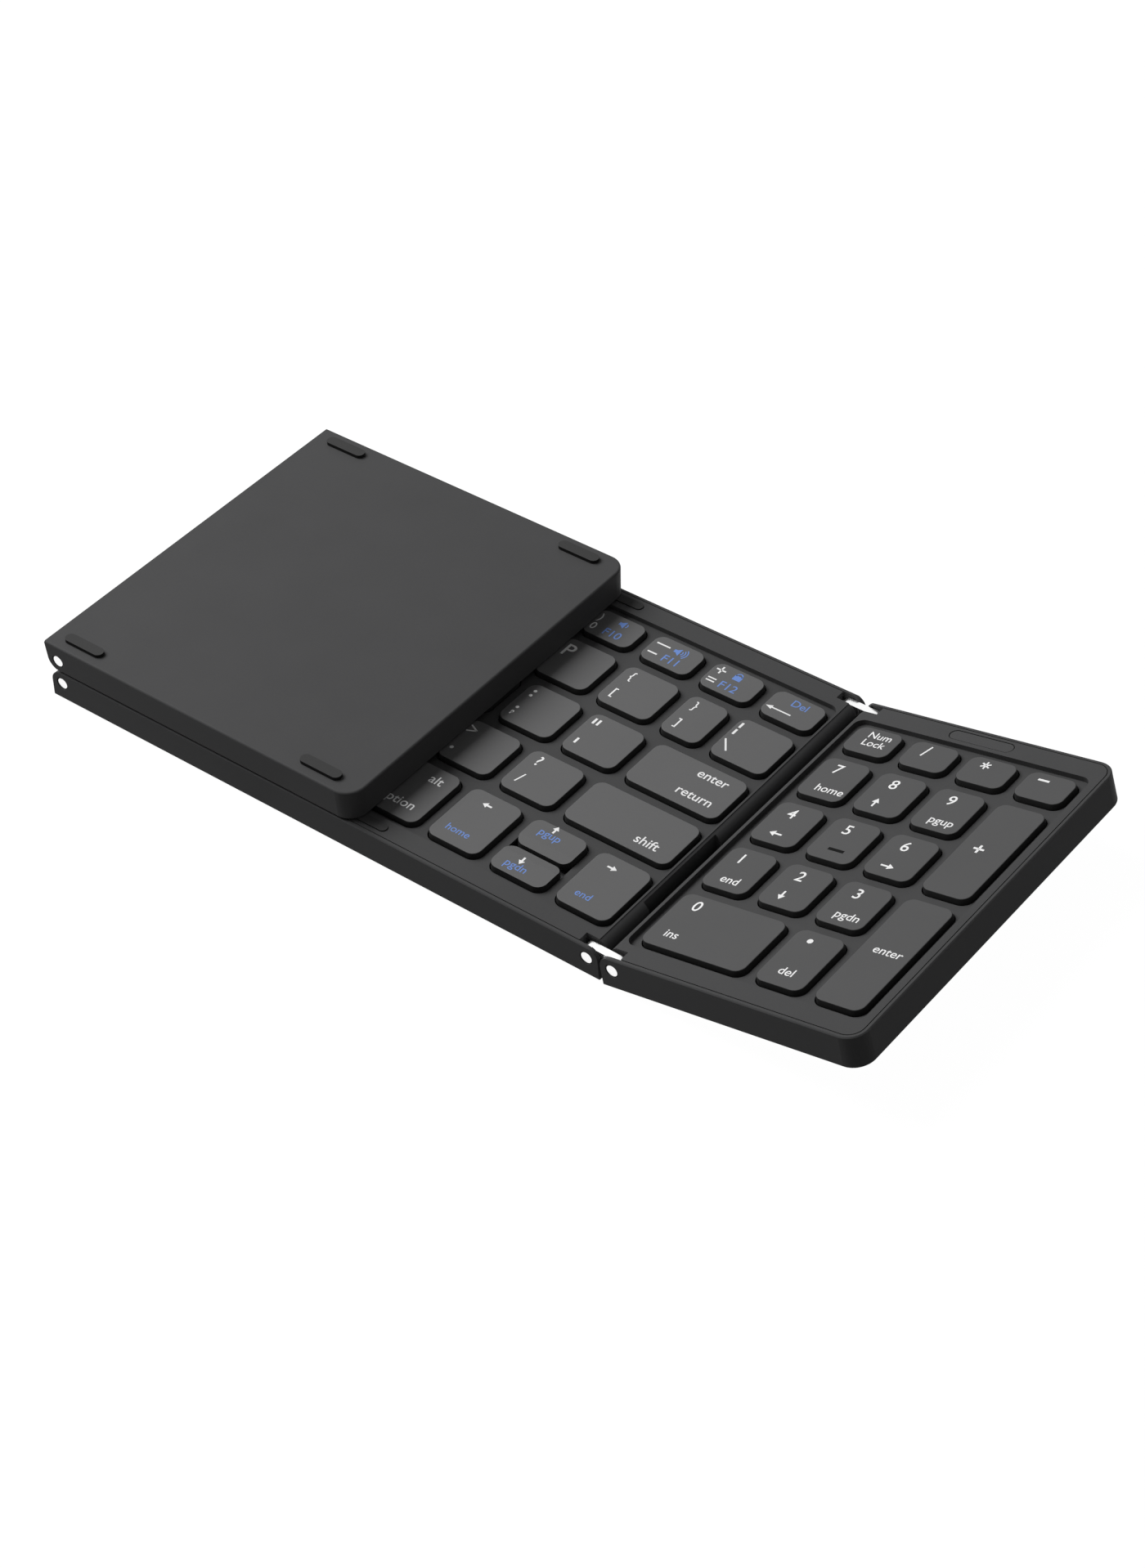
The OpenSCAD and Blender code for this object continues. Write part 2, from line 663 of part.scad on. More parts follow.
module centre_tray() {
    color(body_colour) at_centre() difference() {
        union() {
            difference() {
                centre_block();
                difference() {
                    box([-half_span - nose_inner, half_span + nose_inner],
                        [-half_depth + wall, half_depth - wall], [floor_z, far]);
                    both_ends() translate([-half_span, 0, 0]) front_and_back() hinge_block(0);
                }
            }
            screw_columns(centre_foot_x);
            ribs(centre_ribs);
        }
        both_ends() translate([-half_span, 0, 0]) {
            front_and_back() link_slot();
            front_and_back() pin_bores();
            cable_opening();
        }
        foot_recesses(centre_foot_x);
        screw_holes(centre_foot_x);
        box([port_x - port_width / 2 - 0.3, port_x + port_width / 2 + 0.3],
            [half_depth - 2 * wall, half_depth + cut],
            [port_z - 0.1, port_z + port_height + 0.2]);
    }
}

module centre_frame() {
    color(body_colour) at_centre() difference() {
        union() {
            box([-half_span - frame_edge, half_span + frame_edge],
                [-half_depth + frame_inset, half_depth - frame_inset],
                [ring_z, rim_height - rim_groove_depth]);
            box([-half_span - frame_edge, half_span + frame_edge],
                [-half_depth + top_inset, half_depth - top_inset], [ring_z + cut, rim_height]);
        }
        well([-half_span - well_past_pin, half_span + well_past_pin], [well_front, well_back]);
        for (k = all_centre_keys) key_hole(k);
        both_ends() translate([-half_span, 0, 0]) {
            front_and_back() hinge_block(fit_gap);
            front_and_back() frame_slot();
        }
        screw_pilots(centre_foot_x);
        front_and_back() stadium(bumper_x, bumper_y, [rim_height - bumper_recess, far],
            bumper_length + 2 * fit_gap, bumper_width + 2 * fit_gap);
    }
}

centre_plate_x = [-half_span - plate_past_pin, half_span + plate_past_pin];
module centre_key_plate() { color("silver") at_centre() key_plate(centre_plate_x, plate_y); }
module centre_switch_sheet() {
    color("dimgray") at_centre() switch_sheet(centre_plate_x, plate_y,
        [for (k = all_centre_keys) if (k != half_place) k, half_key(1), half_key(-1)]);
}
module centre_feet() { color(rubber_colour) at_centre() feet(centre_foot_x); }
module centre_screws() { color(steel_colour) at_centre() screws(centre_foot_x); }
module fold_bumpers() {
    color(rubber_colour) at_centre() front_and_back()
        stadium(bumper_x, bumper_y, [rim_height - bumper_recess, rim_height + bumper_proud],
            bumper_length, bumper_width);
}
module battery() {
    r = battery_thickness / 2;
    color("silver") at_centre() translate([battery_place[0], battery_place[1], floor_z + fit_gap]) {
        box([r, battery_width - r], [0, battery_depth - 4], [0, battery_thickness]);
        for (x = [r, battery_width - r]) rod_y(x, 0, battery_depth - 4, r, r);
        box([4, battery_width - 4], [battery_depth - 4.1, battery_depth - 2], [r - 0.3, r + 0.3]);
    }
}
module controller_board() {
    x = board_place[0];
    y = board_place[1];
    top = board_z + board_thickness;
    chip_x = x + board_width * 0.7;
    color("darkgreen") at_centre() {
        box([x, x + board_width], [y, y + board_depth], [board_z, top]);
        box([x + 14, x + 21], [y + 6, y + 13], [top - 0.1, top + 0.8]);
        box([chip_x - 2.5, chip_x + 2.5], [y + 8, y + 12], [top - 0.1, top + 0.7]);
        box([x + 3, x + 13], [y + 1, y + 4], [top - 0.1, cable_z - fit_gap]);
        for (post = [x + 2, x + board_width - 2])
            translate([post, y + board_depth / 2, floor_z]) cylinder(h = 0.4, r = 1.2);
        box([x + board_width / 2 - 6, x + board_width / 2 + 6],
            [y + board_depth - 1, half_depth - wall - port_depth + 1],
            [board_z, top]);
        difference() {
            box([port_x - port_width / 2, port_x + port_width / 2],
                [half_depth - wall - port_depth, half_depth - wall / 2], [port_z, port_z + port_height]);
            box([port_x - port_width / 2 + 0.4, port_x + port_width / 2 - 0.4],
                [half_depth - wall - port_depth + 1.5, half_depth],
                [port_z + 0.4, port_z + port_height - 0.4]);
        }
    }
}
module flat_cable() {
    end = half_span + hinge_end - 0.6;
    z = [cable_z, cable_z + cable_thickness];
    color("sienna") at_centre() {
        box([-end, end], [cable_y - cable_width / 2, cable_y + cable_width / 2], z);
        box([cable_branch_x - 4, cable_branch_x + 4], [cable_y, board_place[1] + 2.5], z);
    }
}

// ---- links ----

module link_pair(direction) {
    front_and_back() for (i = [0]) {
        y0 = -half_depth + link_from_side;
        y1 = y0 + link_thickness;
        difference() {
            rotate([0, -direction, 0]) {
                rod_y(0, y0, y1, 0, link_radius);
                rod_y(link_length, y0, y1, 0, link_radius);
                box([0, link_length], [y0, y1], [-link_radius, link_radius]);
            }
            rotate([0, -direction, 0]) for (x = [0, link_length])
                rod_y(x, y0 - cut, y1 + cut, 0, pin_radius + 0.02);
        }
    }
}
module link_pin_set(direction) {
    y_head = -half_depth + fit_gap;
    y_neck = -half_depth + pin_recess_depth - fit_gap;
    y_end = -half_depth + slot_inner + bore_depth - 0.1;
    front_and_back() rotate([0, -direction, 0]) for (x = [0, link_length]) {
        rod_y(x, y_head, y_neck, 0, pin_head_radius);
        rod_y(x, y_head, y_end, 0, pin_radius);
    }
}
module left_links() { color(steel_colour) at_left_pin() link_pair(90); }
module left_link_pins() { color(steel_colour) at_left_pin() link_pin_set(90); }
module right_links() { color(steel_colour) at_right_pin() link_pair(0); }
module right_link_pins() { color(steel_colour) at_right_pin() link_pin_set(0); }

// ---- left panel ----

module left_tray() { color(body_colour) at_left() side_tray(left_reach, left_foot_x, left_ribs); }
module left_frame() {
    color(body_colour) at_left() side_frame(left_reach, [-well_back, -well_front], all_left_keys,
        left_foot_x);
}
left_plate_x = [-plate_past_pin, left_well_end + 1];
module left_key_plate() { color("silver") at_left() key_plate(left_plate_x, plate_y); }
module left_switch_sheet() {
    color("dimgray") at_left() switch_sheet(left_plate_x, plate_y, all_left_keys);
}
module left_feet() { color(rubber_colour) at_left() feet(left_foot_x); }
module left_screws() { color(steel_colour) at_left() screws(left_foot_x); }
module left_keys() { at_left() for (k = all_left_keys) key(k); }

// ---- right panel ----

module right_tray() { color(body_colour) at_right() side_tray(right_reach, right_foot_x, right_ribs); }
module right_frame() {
    color(body_colour) at_right() side_frame(right_reach, [well_front, well_back], all_pad_keys,
        right_foot_x)
        stadium(window_from_pin, window_y, [rim_height - window_thickness, far],
            window_length + 2 * fit_gap, window_width + 2 * fit_gap);
}
right_plate_x = [-plate_past_pin, right_reach - end_bezel + 1];
module right_key_plate() { color("silver") at_right() key_plate(right_plate_x, plate_y); }
module right_switch_sheet() {
    color("dimgray") at_right() switch_sheet(right_plate_x, plate_y, all_pad_keys);
}
module right_feet() { color(rubber_colour) at_right() feet(right_foot_x); }
module right_screws() { color(steel_colour) at_right() screws(right_foot_x); }
module indicator_window() {
    color(body_colour) at_right()
        stadium(window_from_pin, window_y, [rim_height - window_thickness, rim_height - fit_gap],
            window_length, window_width);
}

// ---- single keys ----

module centre_cap(row, n) at_centre() key(centre_key(row, n));
module centre_caps(row, from) at_centre() for (n = [from : len(centre_rows[row]) - 1])
    key(centre_key(row, n));
module pad_cap(i) at_right() key(all_pad_keys[i]);

centre_tray();
centre_frame();
centre_key_plate();
centre_switch_sheet();
centre_feet();
centre_screws();
fold_bumpers();
battery();
controller_board();
flat_cable();
left_links();
left_link_pins();
left_tray();
left_frame();
left_key_plate();
left_switch_sheet();
left_feet();
left_screws();
left_keys();
right_links();
right_link_pins();
right_tray();
right_frame();
right_key_plate();
right_switch_sheet();
right_feet();
right_screws();
indicator_window();
centre_caps(0, 3);  // number_row_keys
centre_caps(1, 1);  // top_row_keys
centre_caps(2, 1);  // home_row_keys
centre_caps(3, 1);  // bottom_row_keys
centre_caps(4, 3);  // space_row_keys
centre_cap(0, 0);  // key_delete
centre_cap(0, 1);  // key_equals
centre_cap(0, 2);  // key_hyphen
centre_cap(1, 0);  // key_backslash
centre_cap(2, 0);  // key_return
centre_cap(3, 0);  // key_shift
centre_cap(4, 2);  // key_left
at_centre() half_key_cap(1);  // key_page_up
at_centre() half_key_cap(-1);  // key_page_down
centre_cap(4, 0);  // key_right
pad_cap(0);  // key_num_lock
pad_cap(1);  // key_divide
pad_cap(2);  // key_multiply
pad_cap(3);  // key_minus
pad_cap(4);  // key_7
pad_cap(5);  // key_8
pad_cap(6);  // key_9
pad_cap(7);  // key_plus
pad_cap(8);  // key_4
pad_cap(9);  // key_5
pad_cap(10);  // key_6
pad_cap(11);  // key_1
pad_cap(12);  // key_2
pad_cap(13);  // key_3
pad_cap(14);  // key_pad_enter
pad_cap(15);  // key_0
pad_cap(16);  // key_point
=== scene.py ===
# %% [markdown]
# # A folding keyboard, dressed for the studio
#
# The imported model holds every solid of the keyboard: three panels, the links and pins between them, the
# feet, and a key on each slide. It is the fixed frame of this lesson, and each step adds one finish or one
# kind of detail to it. Everything is in metres, with +Z up and +X towards the number pad.

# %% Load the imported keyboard
import json
import math

import bmesh
import bpy
import numpy as np
from mathutils import Matrix, Vector


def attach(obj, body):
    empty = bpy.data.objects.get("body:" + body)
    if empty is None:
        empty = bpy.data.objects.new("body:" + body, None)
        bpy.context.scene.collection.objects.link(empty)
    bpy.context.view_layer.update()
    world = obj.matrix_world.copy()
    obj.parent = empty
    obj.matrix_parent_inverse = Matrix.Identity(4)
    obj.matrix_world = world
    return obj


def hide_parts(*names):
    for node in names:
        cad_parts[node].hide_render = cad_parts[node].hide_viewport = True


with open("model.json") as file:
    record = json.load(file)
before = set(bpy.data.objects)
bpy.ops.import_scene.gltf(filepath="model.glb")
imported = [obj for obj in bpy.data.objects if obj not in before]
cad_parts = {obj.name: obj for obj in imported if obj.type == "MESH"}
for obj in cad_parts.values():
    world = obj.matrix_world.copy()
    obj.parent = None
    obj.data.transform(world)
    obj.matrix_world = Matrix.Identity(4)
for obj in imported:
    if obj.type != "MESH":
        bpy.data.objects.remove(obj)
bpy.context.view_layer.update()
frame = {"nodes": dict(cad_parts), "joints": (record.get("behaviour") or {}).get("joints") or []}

MM = 0.001
nodes = frame["nodes"]

# %% [markdown]
# ## The camera
#
# The camera looks down from the right front. Its position and axes are numbers, because a camera moved by
# hand is never in the same place twice. The focal length is that of a short telephoto lens, which keeps the
# panels' edges nearly parallel.

# %% Camera
def axes_matrix(right, up, origin):
    """A turned and placed frame from its right and up directions."""
    right, up = Vector(right).normalized(), Vector(up).normalized()
    back = right.cross(up)
    made = Matrix((right, up, back)).transposed().to_4x4()
    made.translation = Vector(origin)
    return made


def added(name, data):
    """A new object in the scene, which shows a mesh, a lamp, a camera or a text."""
    made = bpy.data.objects.new(name, data)
    bpy.context.scene.collection.objects.link(made)
    return made


lens = bpy.data.cameras.new("studio_camera")
lens.lens = 75.70
lens.sensor_width = 36
camera = added("studio_camera", lens)
camera.matrix_world = axes_matrix(
    (0.78415, 0.61818, -0.05435), (-0.38628, 0.55478, 0.73689), (0.37610, -0.43037, 0.51596)
)
lens.clip_start, lens.clip_end = 0.05, 20
bpy.context.scene.camera = camera
print("camera", round(camera.location.length, 3), "m from the keyboard's middle")

# %% [markdown]
# ## The studio
#
# A dark object on white is hard to light: a white floor throws so much light back that the sides lose their
# darkness. So the floor is two things at once. To the camera, and in reflections, it is almost white and
# keeps the keyboard's shadow. To the light that bounces, it is a plain grey. One softbox hangs high on the
# left, so that the folded panel throws a soft shadow on the keys beside it, and the world fills the rest.

# %% Floor
FLOOR_HALF = 3.0                     # half the floor's width, in metres
BOUNCE_TONE = 0.04                   # what the floor throws back on the keyboard
PAPER_TONE = 0.95                    # what is seen of it where a lamp lights it
GLOW, GLOW_SHARE = 1.05, 0.94        # its own white, and how much of the seen floor that is


def grey(tone):
    return tone, tone, tone, 1


def link_nodes(tree, *pairs):
    for out, into in pairs:
        tree.links.new(out, into)


def seen_rays(tree):
    """1 for rays that show a thing, straight, in a gloss or through glass, and 0 for rays that light it."""
    path = tree.nodes.new("ShaderNodeLightPath")
    total = path.outputs["Is Camera Ray"]
    for kind in ("Is Glossy Ray", "Is Transmission Ray"):
        add = tree.nodes.new("ShaderNodeMath")
        add.operation = "ADD"
        add.use_clamp = True
        link_nodes(tree, (total, add.inputs[0]), (path.outputs[kind], add.inputs[1]))
        total = add.outputs[0]
    return total


def studio_floor():
    mesh = bpy.data.meshes.new("studio_floor")
    corners = [(sx * FLOOR_HALF, sy * FLOOR_HALF, 0) for sx, sy in ((-1, -1), (1, -1), (1, 1), (-1, 1))]
    mesh.from_pydata(corners, [], [(0, 1, 2, 3)])
    floor = added("studio_floor", mesh)
    mat = bpy.data.materials.new("studio_white")
    mat.use_nodes = True
    tree = mat.node_tree
    tree.nodes.clear()
    out = tree.nodes.new("ShaderNodeOutputMaterial")
    seen = tree.nodes.new("ShaderNodeMixShader")
    matte = tree.nodes.new("ShaderNodeBsdfDiffuse")
    matte.inputs["Color"].default_value = grey(BOUNCE_TONE)
    paper = tree.nodes.new("ShaderNodeMixShader")
    paper.inputs[0].default_value = GLOW_SHARE
    shade = tree.nodes.new("ShaderNodeBsdfDiffuse")
    shade.inputs["Color"].default_value = grey(PAPER_TONE)
    glow = tree.nodes.new("ShaderNodeEmission")
    glow.inputs["Color"].default_value = grey(1)
    glow.inputs["Strength"].default_value = GLOW
    link_nodes(
        tree,
        (seen_rays(tree), seen.inputs[0]), (matte.outputs[0], seen.inputs[1]),
        (shade.outputs[0], paper.inputs[1]), (glow.outputs[0], paper.inputs[2]),
        (paper.outputs[0], seen.inputs[2]), (seen.outputs[0], out.inputs["Surface"]),
    )
    mesh.materials.append(mat)


studio_floor()
print("floor laid")

# %% World and lamps
def studio_world(light, seen):
    """An even white world, with one strength for what it lights and another for what is seen of it."""
    world = bpy.data.worlds.new("studio_world")
    world.use_nodes = True
    tree = world.node_tree
    tree.nodes.clear()
    out = tree.nodes.new("ShaderNodeOutputWorld")
    mix = tree.nodes.new("ShaderNodeMixShader")
    fill = tree.nodes.new("ShaderNodeBackground")
    white = tree.nodes.new("ShaderNodeBackground")
    for background, strength in ((fill, light), (white, seen)):
        background.inputs["Color"].default_value = grey(1)
        background.inputs["Strength"].default_value = strength
    link_nodes(
        tree,
        (seen_rays(tree), mix.inputs[0]), (fill.outputs[0], mix.inputs[1]),
        (white.outputs[0], mix.inputs[2]), (mix.outputs[0], out.inputs["Surface"]),
    )
    bpy.context.scene.world = world


def softbox(name, place, aim, size, power):
    """A square lamp of one size, in metres, turned towards a point."""
    data = bpy.data.lights.new(name, "AREA")
    data.shape = "SQUARE"
    data.size = size
    data.energy = power
    lamp = added(name, data)
    lamp.location = place
    lamp.rotation_mode = "QUATERNION"
    lamp.rotation_quaternion = (Vector(aim) - Vector(place)).to_track_quat("-Z", "Y")


studio_world(light=0.13, seen=1.0)
softbox("high_box", (-0.79, -0.09, 0.86), (0, 0, 0), size=0.8, power=15.3)
bpy.context.scene.view_settings.view_transform = "Standard"

# %% [markdown]
# ## Where the panels lie
#
# The legends and the key caps are drawn on a panel as someone types on it: x to the right, y to the back, z
# out of the keys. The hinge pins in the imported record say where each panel's own frame stands. The left
# panel lies face down, so its frame is turned over, and the number pad's is tilted about its pin. The place
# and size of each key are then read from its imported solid, so that every cap fits its hole in the deck.

# %% Panel frames
joints = {joint["name"]: joint for joint in frame["joints"]}
left_pin = Vector(joints["left_panel_hinge"]["pos_m"])
right_pin = Vector(joints["right_panel_hinge"]["pos_m"])
centre_left_pin = Vector(joints["left_link_hinge"]["pos_m"])
centre_right_pin = Vector(joints["right_link_hinge"]["pos_m"])
tilt = -math.radians(joints["right_panel_hinge"]["range_deg"][0])

PANEL = {
    "centre": Matrix.Translation((centre_left_pin + centre_right_pin) / 2),
    "right": Matrix.Translation(right_pin) @ Matrix.Rotation(-tilt, 4, "Y"),
    # Typed on, the left panel runs to -X from its pin. Folded, it has turned half round about Y.
    "left": Matrix.Translation(left_pin) @ Matrix.Rotation(math.pi, 4, "Y"),
}
print("tilt of the number pad:", round(math.degrees(tilt), 1), "degrees")


# %% Read a panel's keys from the frame
WELD = 1e-7          # how near two points are when they are one, in metres
FLARE = 0.2          # how far a key spreads from its top to its foot, in millimetres


def islands(node):
    """Vertex coordinates of each separate solid in a CAD node."""
    bm = bmesh.new()
    bm.from_mesh(nodes[node].data)
    bmesh.ops.remove_doubles(bm, verts=bm.verts, dist=WELD)
    left, found = set(bm.verts), []
    for first in bm.verts:
        if first not in left:
            continue
        left.remove(first)
        todo, island = [first], [first.co.copy()]
        while todo:
            vert = todo.pop()
            for edge in vert.link_edges:
                other = edge.other_vert(vert)
                if other in left:
                    left.remove(other)
                    todo.append(other)
                    island.append(other.co.copy())
        found.append(island)
    bm.free()
    return found


def key_tops(node, panel):
    """The top of each key in a node, [x0, x1, y0, y1] in its panel's frame, in millimetres."""
    back = PANEL[panel].inverted()
    tops = []
    for island in islands(node):
        here = [back @ co for co in island]
        xs, ys = [p.x / MM for p in here], [p.y / MM for p in here]
        tops.append([min(xs) + FLARE, max(xs) - FLARE, min(ys) + FLARE, max(ys) - FLARE])
    return tops


PAD = ["key_num_lock", "key_divide", "key_multiply", "key_minus", "key_7", "key_8", "key_9", "key_plus",
       "key_4", "key_5", "key_6", "key_1", "key_2", "key_3", "key_pad_enter", "key_0", "key_point"]
CENTRE_SINGLES = ["key_delete", "key_equals", "key_hyphen", "key_backslash", "key_return", "key_shift",
                  "key_left", "key_right", "key_page_up", "key_page_down"]
CENTRE_ROWS = ["number_row_keys", "top_row_keys", "home_row_keys", "bottom_row_keys", "space_row_keys"]
panel_of = {name: "right" for name in PAD}
panel_of.update({name: "centre" for name in CENTRE_SINGLES + CENTRE_ROWS})
panel_of["left_keys"] = "left"
tops = {name: key_tops(name, panel) for name, panel in panel_of.items()}
print(sum(len(t) for t in tops.values()), "keys read from the frame")

# %% [markdown]
# ## Finishes
#
# The keyboard is nearly all one charcoal plastic, so its surfaces differ by their texture: the tray has a
# fine moulded grain, the key tops are smoother, and the rubber is dull. The same grain serves all of them,
# so it is one node group with named inputs, placed in each material with its own values. The sides of the
# keys and of the rubber are painted darker than their tops, as painted shade. A second group does that, by
# the direction that a face looks in. The number pad's keys are a darker copy of the same plastic, which is
# also painted shade.

# %% Moulded grain, a shared node group
CLOUD_SCALE, CLOUD_DETAIL, GRIT_DETAIL = 60, 3, 2
NOISE_LOW, NOISE_HIGH = 0.6, 1.4     # the two noises together lie nearly always between these


def grain_group():
    """Colour that varies a little, roughness that varies with it, and a fine bump."""
    group = bpy.data.node_groups.new("moulded_grain", "ShaderNodeTree")
    face = group.interface
    colour = face.new_socket("Colour", in_out="INPUT", socket_type="NodeSocketColor")
    colour.default_value = (0.1, 0.1, 0.1, 1)
    for name, value in (("Mottle", 0.06), ("Grain Scale", 2600.0), ("Roughness", 0.6),
                        ("Roughness Spread", 0.08), ("Bump", 0.12), ("Bump Depth", 0.00003)):
        face.new_socket(name, in_out="INPUT", socket_type="NodeSocketFloat").default_value = value
    face.new_socket("Colour", in_out="OUTPUT", socket_type="NodeSocketColor")
    face.new_socket("Roughness", in_out="OUTPUT", socket_type="NodeSocketFloat")
    face.new_socket("Normal", in_out="OUTPUT", socket_type="NodeSocketVector")
    new = group.nodes.new
    into, out = new("NodeGroupInput"), new("NodeGroupOutput")
    place = new("ShaderNodeTexCoord")
    cloud = new("ShaderNodeTexNoise")
    cloud.inputs["Scale"].default_value = CLOUD_SCALE
    cloud.inputs["Detail"].default_value = CLOUD_DETAIL
    grit = new("ShaderNodeTexNoise")
    grit.inputs["Detail"].default_value = GRIT_DETAIL
    both = new("ShaderNodeMath")
    both.operation = "ADD"
    spread = new("ShaderNodeMapRange")
    spread.inputs["From Min"].default_value = NOISE_LOW
    spread.inputs["From Max"].default_value = NOISE_HIGH
    low, high = new("ShaderNodeMath"), new("ShaderNodeMath")
    low.operation, high.operation = "SUBTRACT", "ADD"
    low.inputs[0].default_value = 1
    high.inputs[0].default_value = 1
    tint = new("ShaderNodeVectorMath")
    tint.operation = "SCALE"
    rough = new("ShaderNodeMath")
    rough.operation = "MULTIPLY_ADD"
    centred = new("ShaderNodeMath")
    centred.operation = "SUBTRACT"
    centred.inputs[1].default_value = 0.5
    bump = new("ShaderNodeBump")
    link_nodes(
        group,
        (place.outputs["Object"], cloud.inputs["Vector"]), (place.outputs["Object"], grit.inputs["Vector"]),
        (into.outputs["Grain Scale"], grit.inputs["Scale"]),
        (cloud.outputs["Fac"], both.inputs[0]), (grit.outputs["Fac"], both.inputs[1]),
        (into.outputs["Mottle"], low.inputs[1]), (into.outputs["Mottle"], high.inputs[1]),
        (both.outputs[0], spread.inputs["Value"]),
        (low.outputs[0], spread.inputs["To Min"]), (high.outputs[0], spread.inputs["To Max"]),
        (into.outputs["Colour"], tint.inputs[0]), (spread.outputs[0], tint.inputs["Scale"]),
        (tint.outputs[0], out.inputs["Colour"]),
        (grit.outputs["Fac"], centred.inputs[0]), (centred.outputs[0], rough.inputs[0]),
        (into.outputs["Roughness Spread"], rough.inputs[1]), (into.outputs["Roughness"], rough.inputs[2]),
        (rough.outputs[0], out.inputs["Roughness"]),
        (grit.outputs["Fac"], bump.inputs["Height"]),
        (into.outputs["Bump"], bump.inputs["Strength"]),
        (into.outputs["Bump Depth"], bump.inputs["Distance"]),
        (bump.outputs["Normal"], out.inputs["Normal"]),
    )
    return group


grain = grain_group()
print("shared group:", grain.name)

# %% Painted shade on the sides, a second shared group
SIDE_UPTO, TOP_FROM = 0.55, 0.9      # upward part of a face's direction: sides, which get the painted shade, are below, tops above


def side_shade_group():
    """One colour on faces that look up or down, and another on the sides, which is painted shade."""
    group = bpy.data.node_groups.new("painted_side_shade", "ShaderNodeTree")
    for name in ("Top", "Side"):
        group.interface.new_socket(name, in_out="INPUT", socket_type="NodeSocketColor")
    group.interface.new_socket("Colour", in_out="OUTPUT", socket_type="NodeSocketColor")
    new = group.nodes.new
    into, out = new("NodeGroupInput"), new("NodeGroupOutput")
    place, parts, upright = new("ShaderNodeTexCoord"), new("ShaderNodeSeparateXYZ"), new("ShaderNodeMath")
    upright.operation = "ABSOLUTE"
    edge = new("ShaderNodeMapRange")
    edge.inputs["From Min"].default_value = SIDE_UPTO
    edge.inputs["From Max"].default_value = TOP_FROM
    mix = new("ShaderNodeMix")
    mix.data_type = "RGBA"
    factor, side, top = (next(i for i in mix.inputs if i.identifier == name)
                         for name in ("Factor_Float", "A_Color", "B_Color"))
    colour = next(o for o in mix.outputs if o.identifier == "Result_Color")
    link_nodes(
        group,
        (place.outputs["Normal"], parts.inputs[0]), (parts.outputs["Z"], upright.inputs[0]),
        (upright.outputs[0], edge.inputs["Value"]), (edge.outputs[0], factor),
        (into.outputs["Side"], side), (into.outputs["Top"], top), (colour, out.inputs["Colour"]),
    )
    return group


side_shade = side_shade_group()
print("shared group:", side_shade.name)


# %% One grained material for each finish
def grained(name, colour, roughness, mottle=0.06, scale=2600.0, spread=0.08, bump=0.12, specular=0.35,
            metallic=0.0, coat=0.0, side=None):
    """A Principled material with the shared grain, and painted shade on its sides if side is given."""
    mat = bpy.data.materials.new(name)
    mat.use_nodes = True
    tree = mat.node_tree
    skin = tree.nodes["Principled BSDF"]
    texture = tree.nodes.new("ShaderNodeGroup")
    texture.node_tree = grain
    texture.inputs["Colour"].default_value = (*colour, 1)
    for socket, value in (("Mottle", mottle), ("Grain Scale", scale), ("Roughness", roughness),
                          ("Roughness Spread", spread), ("Bump", bump)):
        texture.inputs[socket].default_value = value
    # The side colour is painted shade: the sides are darker than the top only because less light reaches
    # them.
    if side:
        paint = tree.nodes.new("ShaderNodeGroup")
        paint.node_tree = side_shade
        paint.inputs["Top"].default_value = (*colour, 1)
        paint.inputs["Side"].default_value = (*side, 1)
        link_nodes(tree, (paint.outputs["Colour"], texture.inputs["Colour"]))
    skin.inputs["Specular IOR Level"].default_value = specular
    skin.inputs["Metallic"].default_value = metallic
    skin.inputs["Coat Weight"].default_value = coat
    link_nodes(
        tree,
        (texture.outputs["Colour"], skin.inputs["Base Color"]),
        (texture.outputs["Roughness"], skin.inputs["Roughness"]),
        (texture.outputs["Normal"], skin.inputs["Normal"]),
    )
    return mat


